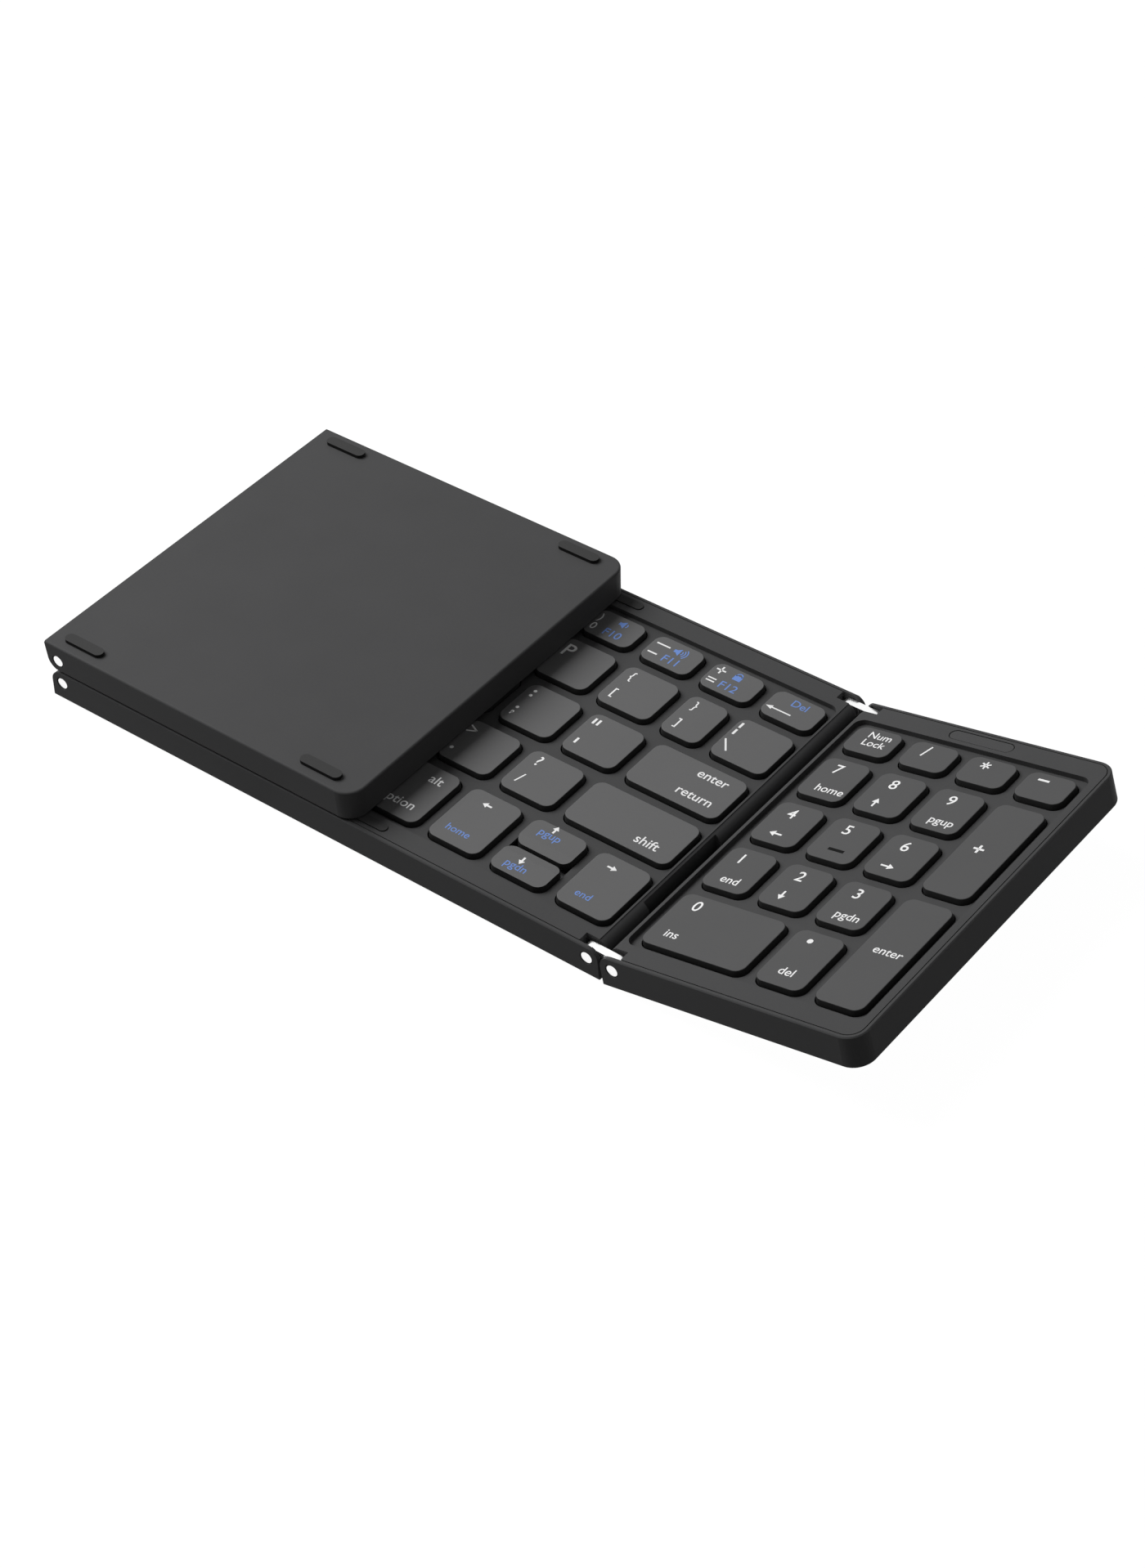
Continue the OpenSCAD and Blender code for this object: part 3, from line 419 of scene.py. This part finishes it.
# Painted shade: the sides of the keys and of the rubber pieces get a darker colour than their tops.
KEY_SIDE_SHADE, RUBBER_SIDE_SHADE = (0.02, 0.02, 0.02), (0.006, 0.006, 0.006)
finish = {
    "tray": grained("charcoal_tray", (0.061, 0.061, 0.062), roughness=0.6, specular=0.09),
    "frame": grained("charcoal_frame", (0.063, 0.063, 0.064), roughness=0.58, specular=0.09),
    "keys": grained("charcoal_key", (0.140, 0.140, 0.141), roughness=0.6, mottle=0.03, scale=3200.0,
                    bump=0.08, specular=0.08, side=KEY_SIDE_SHADE),
    # Painted shade: the number pad's keys are the same plastic as the others, given a darker tone for the
    # dimmer light on the pad.
    "pad_keys_shaded": grained("charcoal_pad_key_shaded", (0.100, 0.100, 0.101), roughness=0.6, mottle=0.03, scale=3200.0,
                        bump=0.08, specular=0.08, side=KEY_SIDE_SHADE),
    "rubber": grained("dark_rubber", (0.048, 0.048, 0.048), roughness=0.8, scale=1500.0, specular=0.1,
                      side=RUBBER_SIDE_SHADE),
    "hinge_steel": grained("bright_steel", (0.94, 0.94, 0.94), roughness=0.24, mottle=0.01, scale=1200.0,
                           spread=0.04, bump=0.02, metallic=1.0),
    "steel": grained("screw_steel", (0.55, 0.55, 0.55), roughness=0.35, mottle=0.05, metallic=1.0),
    "plate": grained("plain_aluminium", (0.72, 0.72, 0.73), roughness=0.42, mottle=0.03, scale=900.0,
                     metallic=1.0),
    "film": grained("switch_film_grey", (0.12, 0.12, 0.125), roughness=0.4, mottle=0.03),
    "foil": grained("battery_foil", (0.62, 0.62, 0.63), roughness=0.38, mottle=0.08, scale=500.0,
                    metallic=1.0),
    "board": grained("board_green", (0.006, 0.045, 0.016), roughness=0.35, mottle=0.08, scale=900.0,
                     coat=0.4),
    "cable": grained("cable_black", (0.008, 0.008, 0.008), roughness=0.4, mottle=0.05, scale=900.0),
    "window": grained("smoked_window", (0.065, 0.065, 0.066), roughness=0.5, mottle=0.02, scale=1500.0,
                      bump=0.04, specular=0.09),
    "ink_white": grained("white_print", (0.95, 0.95, 0.95), roughness=0.6, mottle=0.02, bump=0.02),
    "ink_blue": grained("blue_print", (0.15, 0.27, 0.65), roughness=0.6, mottle=0.02, bump=0.02),
    "ink_grey": grained("dark_print", (0.005, 0.005, 0.005), roughness=0.6, mottle=0.02, bump=0.02,
                        specular=0.05),
}
print(len(finish), "finishes")

# %% Give each CAD node its finish
ENDINGS = {
    "_feet": "rubber", "bumpers": "rubber", "_screws": "steel", "_links": "hinge_steel",
    "_link_pins": "hinge_steel", "_key_plate": "plate", "_switch_sheet": "film", "_cable": "cable",
    "_tray": "tray", "_frame": "frame", "_window": "window", "battery": "foil", "controller_board": "board",
}


def finish_of(node):
    """The finish that goes with the end of a node's name. All that is left over is keys."""
    return next((name for ending, name in ENDINGS.items() if node.endswith(ending)), "keys")


def key_finish(name):
    # The number pad's keys take the darker copy of the key plastic, which is painted shade.
    return finish["pad_keys_shaded" if panel_of[name] == "right" else "keys"]


for name, obj in nodes.items():
    obj.data.materials.clear()
    obj.data.materials.append(finish[finish_of(name)])
print("finishes given to", len(nodes), "nodes")

# %% [markdown]
# ## Key caps
#
# A moulded cap has a flat top, a small rounded edge, sides that lean out a little, and a short skirt that
# goes down through the deck. Every cap is the same shape pulled to its own width and depth, and its corners
# never change. So one small cap is modelled with no straight sides at all, a rounded post, and Geometry
# Nodes copy it to every key's place and pull its four quarters apart by the size of that key. This keeps
# the corners true, which scaling would not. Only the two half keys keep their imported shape, because they
# slope down towards each other.

# %% The rounded post that all caps grow from
KEY_TOP, DECK, KEY_FOOT = 3.35, 1.9, 1.1         # heights above the pin axis, in millimetres
CORNER, EDGE = 2.4, 0.22                         # corner radius of a top, radius of its edge
CORNER_STEPS, EDGE_STEPS = 6, 4


def cap_profile():
    """(how far outside the top's corner radius, height) from the foot to the top, in millimetres."""
    lean = math.atan2(FLARE, KEY_TOP - DECK)
    points = [(FLARE, KEY_FOOT), (FLARE, DECK)]
    # The edge is an arc between the leaning side and the flat top.
    reach = EDGE * math.tan((math.pi / 2 - lean) / 2)
    centre = (-reach, KEY_TOP - EDGE)
    for i in range(EDGE_STEPS + 1):
        turn = (math.pi / 2 - lean) * i / EDGE_STEPS + lean
        points.append((centre[0] + EDGE * math.cos(turn), centre[1] + EDGE * math.sin(turn)))
    return points


def mesh_from(bm, name):
    """Turns what was drawn into a mesh, and clears the drawing."""
    mesh = bpy.data.meshes.new(name)
    bm.to_mesh(mesh)
    bm.free()
    return mesh


def rounded_post(name):
    """A cap with no straight sides. Each point says which quarter it belongs to."""
    bm = bmesh.new()
    quarter = bm.verts.layers.float_vector.new("quarter")
    rings = []
    for out, height in cap_profile():
        ring = []
        for sx, sy, start in ((1, 1, 0), (-1, 1, 90), (-1, -1, 180), (1, -1, 270)):
            for i in range(CORNER_STEPS + 1):
                a = math.radians(start + 90 * i / CORNER_STEPS)
                r = CORNER + out
                vert = bm.verts.new((r * math.cos(a) * MM, r * math.sin(a) * MM, height * MM))
                vert[quarter] = (sx, sy, 0)
                ring.append(vert)
        rings.append(ring)
    count = len(rings[0])
    for low, high in zip(rings, rings[1:]):
        for i in range(count):
            face = bm.faces.new((low[i], low[(i + 1) % count], high[(i + 1) % count], high[i]))
            face.smooth = True
    bm.faces.new(rings[-1])
    bm.faces.new(list(reversed(rings[0])))
    return added(name, mesh_from(bm, name))


post = rounded_post("cap_post")
print("post:", len(post.data.vertices), "points")

# %% Geometry Nodes that pull the post to each key's size
def cap_tree():
    tree = bpy.data.node_groups.new("key_caps", "GeometryNodeTree")
    face = tree.interface
    face.new_socket("Geometry", in_out="INPUT", socket_type="NodeSocketGeometry")
    face.new_socket("Post", in_out="INPUT", socket_type="NodeSocketObject")
    radius_in = face.new_socket("Corner Radius", in_out="INPUT", socket_type="NodeSocketFloat")
    radius_in.default_value = CORNER * MM
    face.new_socket("Finish", in_out="INPUT", socket_type="NodeSocketMaterial")
    face.new_socket("Geometry", in_out="OUTPUT", socket_type="NodeSocketGeometry")
    new = tree.nodes.new
    into, out = new("NodeGroupInput"), new("NodeGroupOutput")
    info = new("GeometryNodeObjectInfo")
    copy = new("GeometryNodeInstanceOnPoints")
    real = new("GeometryNodeRealizeInstances")
    move = new("GeometryNodeSetPosition")
    paint = new("GeometryNodeSetMaterial")
    half, quarter = new("GeometryNodeInputNamedAttribute"), new("GeometryNodeInputNamedAttribute")
    half.data_type = quarter.data_type = "FLOAT_VECTOR"
    half.inputs["Name"].default_value = "half_size"
    quarter.inputs["Name"].default_value = "quarter"
    less, pull = new("ShaderNodeVectorMath"), new("ShaderNodeVectorMath")
    radius = new("ShaderNodeCombineXYZ")
    less.operation, pull.operation = "SUBTRACT", "MULTIPLY"
    link_nodes(
        tree,
        (into.outputs["Geometry"], copy.inputs["Points"]), (into.outputs["Post"], info.inputs["Object"]),
        (info.outputs["Geometry"], copy.inputs["Instance"]),
        (copy.outputs["Instances"], real.inputs["Geometry"]),
        (real.outputs["Geometry"], move.inputs["Geometry"]),
        (into.outputs["Corner Radius"], radius.inputs["X"]),
        (into.outputs["Corner Radius"], radius.inputs["Y"]),
        (half.outputs["Attribute"], less.inputs[0]), (radius.outputs[0], less.inputs[1]),
        (less.outputs[0], pull.inputs[0]), (quarter.outputs["Attribute"], pull.inputs[1]),
        (pull.outputs[0], move.inputs["Offset"]), (move.outputs["Geometry"], paint.inputs["Geometry"]),
        (into.outputs["Finish"], paint.inputs["Material"]),
        (paint.outputs["Geometry"], out.inputs["Geometry"]),
    )
    return tree


def set_input(modifier, name, value):
    """Sets a modifier's input by the identifier of the socket with that name."""
    for item in modifier.node_group.interface.items_tree:
        if item.item_type == "SOCKET" and item.in_out == "INPUT" and item.name == name:
            modifier[item.identifier] = value


def baked(name, source, tree, **inputs):
    """Runs a Geometry Nodes tree on a mesh and gives the result as a plain mesh object."""
    carrier = added(name + "_points", source)
    modifier = carrier.modifiers.new("nodes", "NODES")
    modifier.node_group = tree
    for key, value in inputs.items():
        set_input(modifier, key.replace("_", " "), value)
    carrier.update_tag()
    result = carrier.evaluated_get(bpy.context.evaluated_depsgraph_get())
    mesh = bpy.data.meshes.new_from_object(result)
    carrier.modifiers.remove(modifier)
    bpy.data.objects.remove(carrier)
    mesh.name = name
    return added(name, mesh)


def key_points(name, sizes):
    """One point in the middle of each key, with half its size."""
    mesh = bpy.data.meshes.new(name)
    mesh.from_pydata([((x0 + x1) / 2 * MM, (y0 + y1) / 2 * MM, 0) for x0, x1, y0, y1 in sizes], [], [])
    half = mesh.attributes.new("half_size", "FLOAT_VECTOR", "POINT")
    half.data.foreach_set("vector", np.array(
        [((x1 - x0) / 2 * MM, (y1 - y0) / 2 * MM, 0) for x0, x1, y0, y1 in sizes]).ravel())
    return mesh


AS_PACKED = ("key_page_up", "key_page_down")
caps = cap_tree()
made_caps = 0
for name, panel in panel_of.items():
    if name in AS_PACKED:
        continue
    cap = baked("cap_" + name, key_points(name, tops[name]), caps,
                Post=post, Corner_Radius=CORNER * MM, Finish=key_finish(name))
    cap.data.transform(PANEL[panel])
    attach(cap, name)
    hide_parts(name)
    made_caps += len(tops[name])
bpy.data.objects.remove(post)
print(made_caps, "caps")

# %% [markdown]
# ## Indicator window
#
# The window lies flush in the number pad's bezel and has the bezel's own tone. What shows of it is the fine
# dark joint round it, so the visible window is a little smaller than its hole.

# %% Window with an open joint
WINDOW_JOINT, WINDOW_EDGE = 0.14, 0.06            # width of the joint, size of the bevel round the top
ROUND_END_STEPS = 16


def round_ended_ring(x0, x1, y0, y1, inset):
    """Points round a shape with two round ends, inside a box by inset."""
    radius, y = (y1 - y0) / 2, (y0 + y1) / 2
    ring = []
    for x, start in ((x1 - radius, -90), (x0 + radius, 90)):
        for i in range(ROUND_END_STEPS + 1):
            a = math.radians(start + 180 * i / ROUND_END_STEPS)
            ring.append((x + (radius - inset) * math.cos(a), y + (radius - inset) * math.sin(a)))
    return ring


def window_plate(name, node, panel):
    """A closed plate in the box of a node, smaller by the joint, with a small bevel round its top."""
    back = PANEL[panel].inverted()
    here = [back @ v.co / MM for v in nodes[node].data.vertices]
    (x0, x1), (y0, y1), (z0, z1) = ((min(p[i] for p in here), max(p[i] for p in here)) for i in range(3))
    bm = bmesh.new()
    rings = []
    for inset, height in ((0, z0), (0, z1 - WINDOW_EDGE), (WINDOW_EDGE, z1)):
        outline = round_ended_ring(x0, x1, y0, y1, WINDOW_JOINT + inset)
        rings.append([bm.verts.new((x * MM, y * MM, height * MM)) for x, y in outline])
    for low, high in zip(rings, rings[1:]):
        for i in range(len(low)):
            bm.faces.new((low[i - 1], low[i], high[i], high[i - 1]))
    bm.faces.new(rings[-1])
    bm.faces.new(list(reversed(rings[0])))
    mesh = mesh_from(bm, name)
    mesh.materials.append(finish["window"])
    mesh.transform(PANEL[panel])
    return added(name, mesh)


window = window_plate("window_plate", "indicator_window", "right")
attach(window, "right_panel")
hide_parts("indicator_window")
print("window:", len(window.data.vertices), "points")

# %% [markdown]
# ## Legends
#
# The legends are printed in white, and the second functions in blue. A print is a flat shape that lies on
# the cap: letters come from Blender's own font, and arrows and signs are drawn as polygons. Each one is
# measured from its key's left and front edges, in millimetres, as a printer's template is, so it stays put
# when a key changes size.

# %% Flat shapes for print
WHITE_BOLD, BLUE_BOLD = 0.007, 0.004     # how much a stroke is widened on each side, in text sizes
CURVE_STEPS = 5                          # straight pieces in each curve of a letter


def glyphs(text, bold=0.0):
    """Triangulated outline of a text of size 1 on the line y = 0. bold widens each stroke on both sides."""
    curve = bpy.data.curves.new("glyphs", "FONT")
    curve.body = text
    curve.size = 1
    curve.offset = bold
    curve.resolution_u = CURVE_STEPS
    obj = added("glyphs", curve)
    mesh = bpy.data.meshes.new_from_object(obj.evaluated_get(bpy.context.evaluated_depsgraph_get()))
    points = [(v.co.x, v.co.y) for v in mesh.vertices]
    faces = [tuple(p.vertices) for p in mesh.polygons]
    bpy.data.objects.remove(obj)
    bpy.data.curves.remove(curve)
    bpy.data.meshes.remove(mesh)
    return points, faces


capital = max(y for _, y in glyphs("H")[0])


def word(text, left, foot, height, bold=WHITE_BOLD):
    """A word by its left end, its foot line and the height of a capital."""
    points, faces = glyphs(text, bold)
    start = min(x for x, _ in points)
    k = height / capital
    return [((x - start) * k + left, y * k + foot) for x, y in points], faces


def second(text, left, foot, height):
    """A second function, in the lighter strokes that the blue print has."""
    return word(text, left, foot, height, bold=BLUE_BOLD)


def turned(points, x, y, turn):
    """Points turned about the origin and then moved to (x, y)."""
    c, s = math.cos(math.radians(turn)), math.sin(math.radians(turn))
    return [(x + u * c - v * s, y + u * s + v * c) for u, v in points]


def bar(x, y, length, width, turn=0.0):
    """A straight stroke by its middle."""
    corners = [(u * length / 2, v * width / 2) for u, v in ((-1, -1), (1, -1), (1, 1), (-1, 1))]
    return turned(corners, x, y, turn), [(0, 1, 2, 3)]


def arrow(x, y, turn, length=3.0, head=1.5, width=1.9, shaft=0.5):
    """An arrow by its middle. It points to the right before it is turned."""
    tip, neck, end = length / 2, length / 2 - head, -length / 2
    outline = [(end, -shaft / 2), (neck, -shaft / 2), (neck, shaft / 2), (end, shaft / 2),
               (neck, -width / 2), (tip, 0), (neck, width / 2)]
    return turned(outline, x, y, turn), [(0, 1, 2, 3), (4, 5, 6)]


def disc(x, y, radius, steps=16):
    return [(x + radius * math.cos(2 * math.pi * i / steps), y + radius * math.sin(2 * math.pi * i / steps))
            for i in range(steps)], [tuple(range(steps))]


def arc(x, y, radius, width, start, end, steps=8):
    """A curved stroke about (x, y)."""
    points = []
    for i in range(steps + 1):
        a = math.radians(start + (end - start) * i / steps)
        for r in (radius - width / 2, radius + width / 2):
            points.append((x + r * math.cos(a), y + r * math.sin(a)))
    return points, [(2 * i, 2 * i + 1, 2 * i + 3, 2 * i + 2) for i in range(steps)]


def polygon(*points):
    return list(points), [tuple(range(len(points)))]


def padlock(x, y):
    reach, width = 0.75, 0.32
    return [polygon((x - 1.1, y - 1.4), (x + 1.1, y - 1.4), (x + 1.1, y + 0.3), (x - 1.1, y + 0.3)),
            arc(x, y + 0.4, reach, width, 0, 180),
            bar(x - reach, y + 0.3, width, 0.4), bar(x + reach, y + 0.3, width, 0.4)]


def speaker(x, y, waves):
    shapes = [polygon((x - 1.9, y - 0.5), (x - 1.2, y - 0.5), (x - 1.2, y + 0.5), (x - 1.9, y + 0.5)),
              polygon((x - 1.2, y - 0.5), (x - 0.2, y - 1.3), (x - 0.2, y + 1.3), (x - 1.2, y + 0.5))]
    for i in range(waves):
        shapes.append(arc(x - 0.3, y, 0.8 + 0.65 * i, 0.28, -48, 48))
    return shapes


def asterisk(x, y):
    return [bar(x, y, 2.6, 0.42, turn) for turn in (30, 90, 150)]


def plus(x, y, size=2.6, width=0.5):
    return [bar(x, y, size, width), bar(x, y, size, width, 90)]


print("capital height of the font:", round(capital, 3))

# %% What is printed on each key
# A legend is [finish, shape, ...], drawn for a key whose top starts at x = 0, y = 0.
def words(*lines):
    """(text, left, foot, height) for each line in white."""
    return [("ink_white", word(*line)) for line in lines]


def blue(*shapes):
    return [("ink_blue", shape) for shape in shapes]


def white(*shapes):
    return [("ink_white", shape) for shape in shapes]


def pad_digit(digit, below=None):
    """A number pad's digit, with a word under it if there is one."""
    return words((digit, 3.9, 9.3, 3.1)) + (words((below, 4.0, 2.4, 2.3)) if below else [])


def small_arrow(x, y, turn, length=2.6):
    return white(arrow(x, y, turn, length=length, head=length / 2, width=1.7))


def letter(text):
    return words((text, 2.0, 8.2, 4.1))


def two_signs(high, low):
    """A shifted sign over a plain one, on a key of full depth."""
    return words((high, 2.3, 10.0, 2.5), (low, 2.3, 3.2, 2.5))


def number(sign, digit, function):
    """A key of the short row: a sign over a digit at the left and a blue function at the right."""
    return words((sign, 1.4, 5.4, 2.3), (digit, 1.4, 1.7, 2.3)) + blue(second(function, 5.4, 1.6, 2.4))


pad_print = {
    "key_num_lock": words(("Num", 3.9, 5.9, 2.15), ("Lock", 3.9, 3.0, 2.15)),
    "key_divide": white(bar(4.5, 6.3, 3.9, 0.42, 75)),
    "key_multiply": white(*asterisk(4.7, 6.8)),
    "key_minus": white(bar(4.4, 6.9, 2.9, 0.65)),
    "key_7": pad_digit("7", "home"), "key_8": pad_digit("8") + white(arrow(4.6, 3.7, 90)),
    "key_9": pad_digit("9", "pgup"), "key_plus": white(*plus(4.7, 16.4, 2.7, 0.6)),
    "key_4": pad_digit("4") + white(arrow(5.7, 3.4, 180, length=3.4)),
    "key_5": pad_digit("5") + [("ink_grey", bar(6.6, 3.7, 4.2, 0.9))],
    "key_6": pad_digit("6") + white(arrow(5.0, 3.4, 0, length=3.4)),
    "key_1": pad_digit("1", "end"), "key_2": pad_digit("2") + white(arrow(4.8, 3.8, -90)),
    "key_3": pad_digit("3", "pgdn"), "key_pad_enter": words(("enter", 3.1, 17.6, 2.3)),
    "key_0": words(("0", 4.2, 13.2, 3.1), ("ins", 4.2, 3.5, 2.3)),
    "key_point": white(disc(4.5, 15.0, 0.72)) + words(("del", 4.0, 3.5, 2.3)),
}
single_print = {
    "key_delete": blue(second("Del", 5.4, 5.8, 2.2)) + white(
        polygon((0.5, 2.9), (2.3, 2.2), (2.3, 3.6)), bar(4.9, 2.9, 5.2, 0.4)),
    "key_equals": white(*plus(2.3, 6.9, 2.6, 0.45), bar(2.2, 3.4, 2.4, 0.4), bar(2.2, 2.4, 2.4, 0.4))
    + blue(*padlock(7.2, 7.1), second("F12", 4.8, 1.6, 2.4)),
    "key_hyphen": white(bar(3.1, 6.5, 3.9, 0.45), bar(2.4, 2.8, 2.7, 0.45))
    + blue(*speaker(8.2, 6.4, 3), second("F11", 5.6, 1.6, 2.4)),
    "key_backslash": white(bar(1.3, 11.7, 1.9, 0.6, 90), bar(1.3, 9.1, 1.9, 0.6, 90),
                           bar(2.2, 4.3, 4.3, 0.45, -54)),
    "key_return": words(("enter", 13.6, 10.0, 2.6), ("return", 12.8, 2.9, 2.6)),
    "key_shift": words(("shift", 18.5, 2.6, 2.6)),
    "key_left": small_arrow(6.3, 14.6, 180) + blue(second("home", 3.0, 3.4, 2.0)),
    "key_right": small_arrow(5.4, 14.6, 0) + blue(second("end", 3.3, 3.4, 2.0)),
    "key_page_up": small_arrow(6.1, 7.4, 90, 2.4) + blue(second("pgup", 3.3, 4.3, 2.15)),
    "key_page_down": small_arrow(6.1, 5.0, -90, 2.4) + blue(second("pgdn", 3.2, 1.9, 2.15)),
}
# The centre panel's keys that share a node, from the right to the left of their row.
row_print = {
    "number_row_keys": [
        words((")", 1.4, 5.4, 2.3), ("0", 1.4, 1.7, 2.3))
        + blue(*speaker(8.8, 7.0, 1), second("F10", 5.5, 1.6, 2.4)),
        number("(", "9", "F9"), number("*", "8", "F8"), number("&", "7", "F7"), number("^", "6", "F6"),
        number("%", "5", "F5")],
    "top_row_keys": [
        two_signs("}", "]"), two_signs("{", "["),
        letter("P"), letter("O"), letter("I"), letter("U"), letter("Y"), letter("T")],
    "home_row_keys": [
        white(bar(1.7, 11.6, 2.0, 0.6, 90), bar(2.9, 11.6, 2.0, 0.6, 90), bar(2.3, 3.9, 1.9, 0.6, 90)),
        white(disc(2.3, 12.0, 0.45), disc(2.3, 10.2, 0.45), disc(2.3, 5.2, 0.45), disc(2.3, 3.4, 0.45),
              bar(2.2, 2.9, 1.0, 0.4, 70)),
        letter("L"), letter("K"), letter("J"), letter("H"), letter("G")],
    "bottom_row_keys": [
        words(("?", 2.9, 9.8, 3.1), ("/", 2.6, 3.0, 3.0)),
        white(bar(2.4, 11.7, 2.7, 0.42, -25), bar(2.4, 10.6, 2.7, 0.42, 25), disc(2.2, 3.6, 0.5)),
        white(bar(2.4, 11.7, 2.7, 0.42, 25), bar(2.4, 10.6, 2.7, 0.42, -25), disc(2.2, 3.6, 0.45),
              bar(2.1, 3.1, 1.0, 0.4, 70)),
        letter("M"), letter("N"), letter("B"), letter("V")],
    "space_row_keys": [words(("alt", 8.3, 13.2, 2.6), ("option", 1.8, 3.4, 2.6)), []],
}
# The left panel's rows, from the back to the front, each of them from its right to its left.
left_print = [
    [number("$", "4", "F4"), number("#", "3", "F3"), number("@", "2", "F2"), number("!", "1", "F1"),
     words(("esc", 1.8, 3.4, 2.6))],
    [letter("R"), letter("E"), letter("W"), letter("Q"), words(("tab", 1.8, 2.6, 2.6))],
    [letter("F"), letter("D"), letter("S"), letter("A"), words(("caps", 1.8, 2.6, 2.6))],
    [letter("C"), letter("X"), letter("Z"), words(("shift", 1.8, 2.6, 2.6))],
    [[], words(("alt", 1.8, 3.4, 2.6)), words(("start", 1.8, 3.4, 2.6)), words(("fn", 1.8, 3.4, 2.6)),
     words(("ctrl", 1.8, 3.4, 2.6))],
]
print(len(pad_print) + len(single_print), "single keys with legends")

# %% Print them
PRINT_HEIGHT = KEY_TOP + 0.012       # just above the cap, in millimetres


def add_print(bm, slots, key, legend):
    """Lays a key's legend on its top. slots maps a finish to a material index."""
    x0, _, y0, _ = key
    for ink, (points, faces) in legend:
        verts = [bm.verts.new(((x0 + x) * MM, (y0 + y) * MM, PRINT_HEIGHT * MM)) for x, y in points]
        for face in faces:
            made = bm.faces.new([verts[i] for i in face])
            made.material_index = slots.setdefault(ink, len(slots))
            made.normal_update()
            if made.normal.z < 0:
                made.normal_flip()


def print_keys(name, body, panel, pairs):
    """One mesh of print for one body, from (key top, legend) pairs."""
    bm, slots = bmesh.new(), {}
    for key, legend in pairs:
        add_print(bm, slots, key, legend)
    mesh = mesh_from(bm, name)
    for ink in sorted(slots, key=slots.get):
        mesh.materials.append(finish[ink])
    mesh.transform(PANEL[panel])
    made = added(name, mesh)
    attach(made, body)


def rows_of(sizes):
    """Keys of one node by row from the back, each row from the right to the left."""
    rows = {}
    for size in sizes:
        rows.setdefault(round((size[2] + size[3]) / 2), []).append(size)
    return [sorted(rows[y], key=lambda s: -s[0]) for y in sorted(rows, reverse=True)]


for name, legend in {**pad_print, **single_print}.items():
    print_keys("print_" + name, name, panel_of[name], [(tops[name][0], legend)])
for name, legends in row_print.items():
    print_keys("print_" + name, name, "centre", list(zip(rows_of(tops[name])[0], legends)))
left_pairs = [pair for row, legends in zip(rows_of(tops["left_keys"]), left_print)
              for pair in zip(row, legends)]
print_keys("print_left_keys", "left_keys", "left", left_pairs)
print("print laid on the caps")
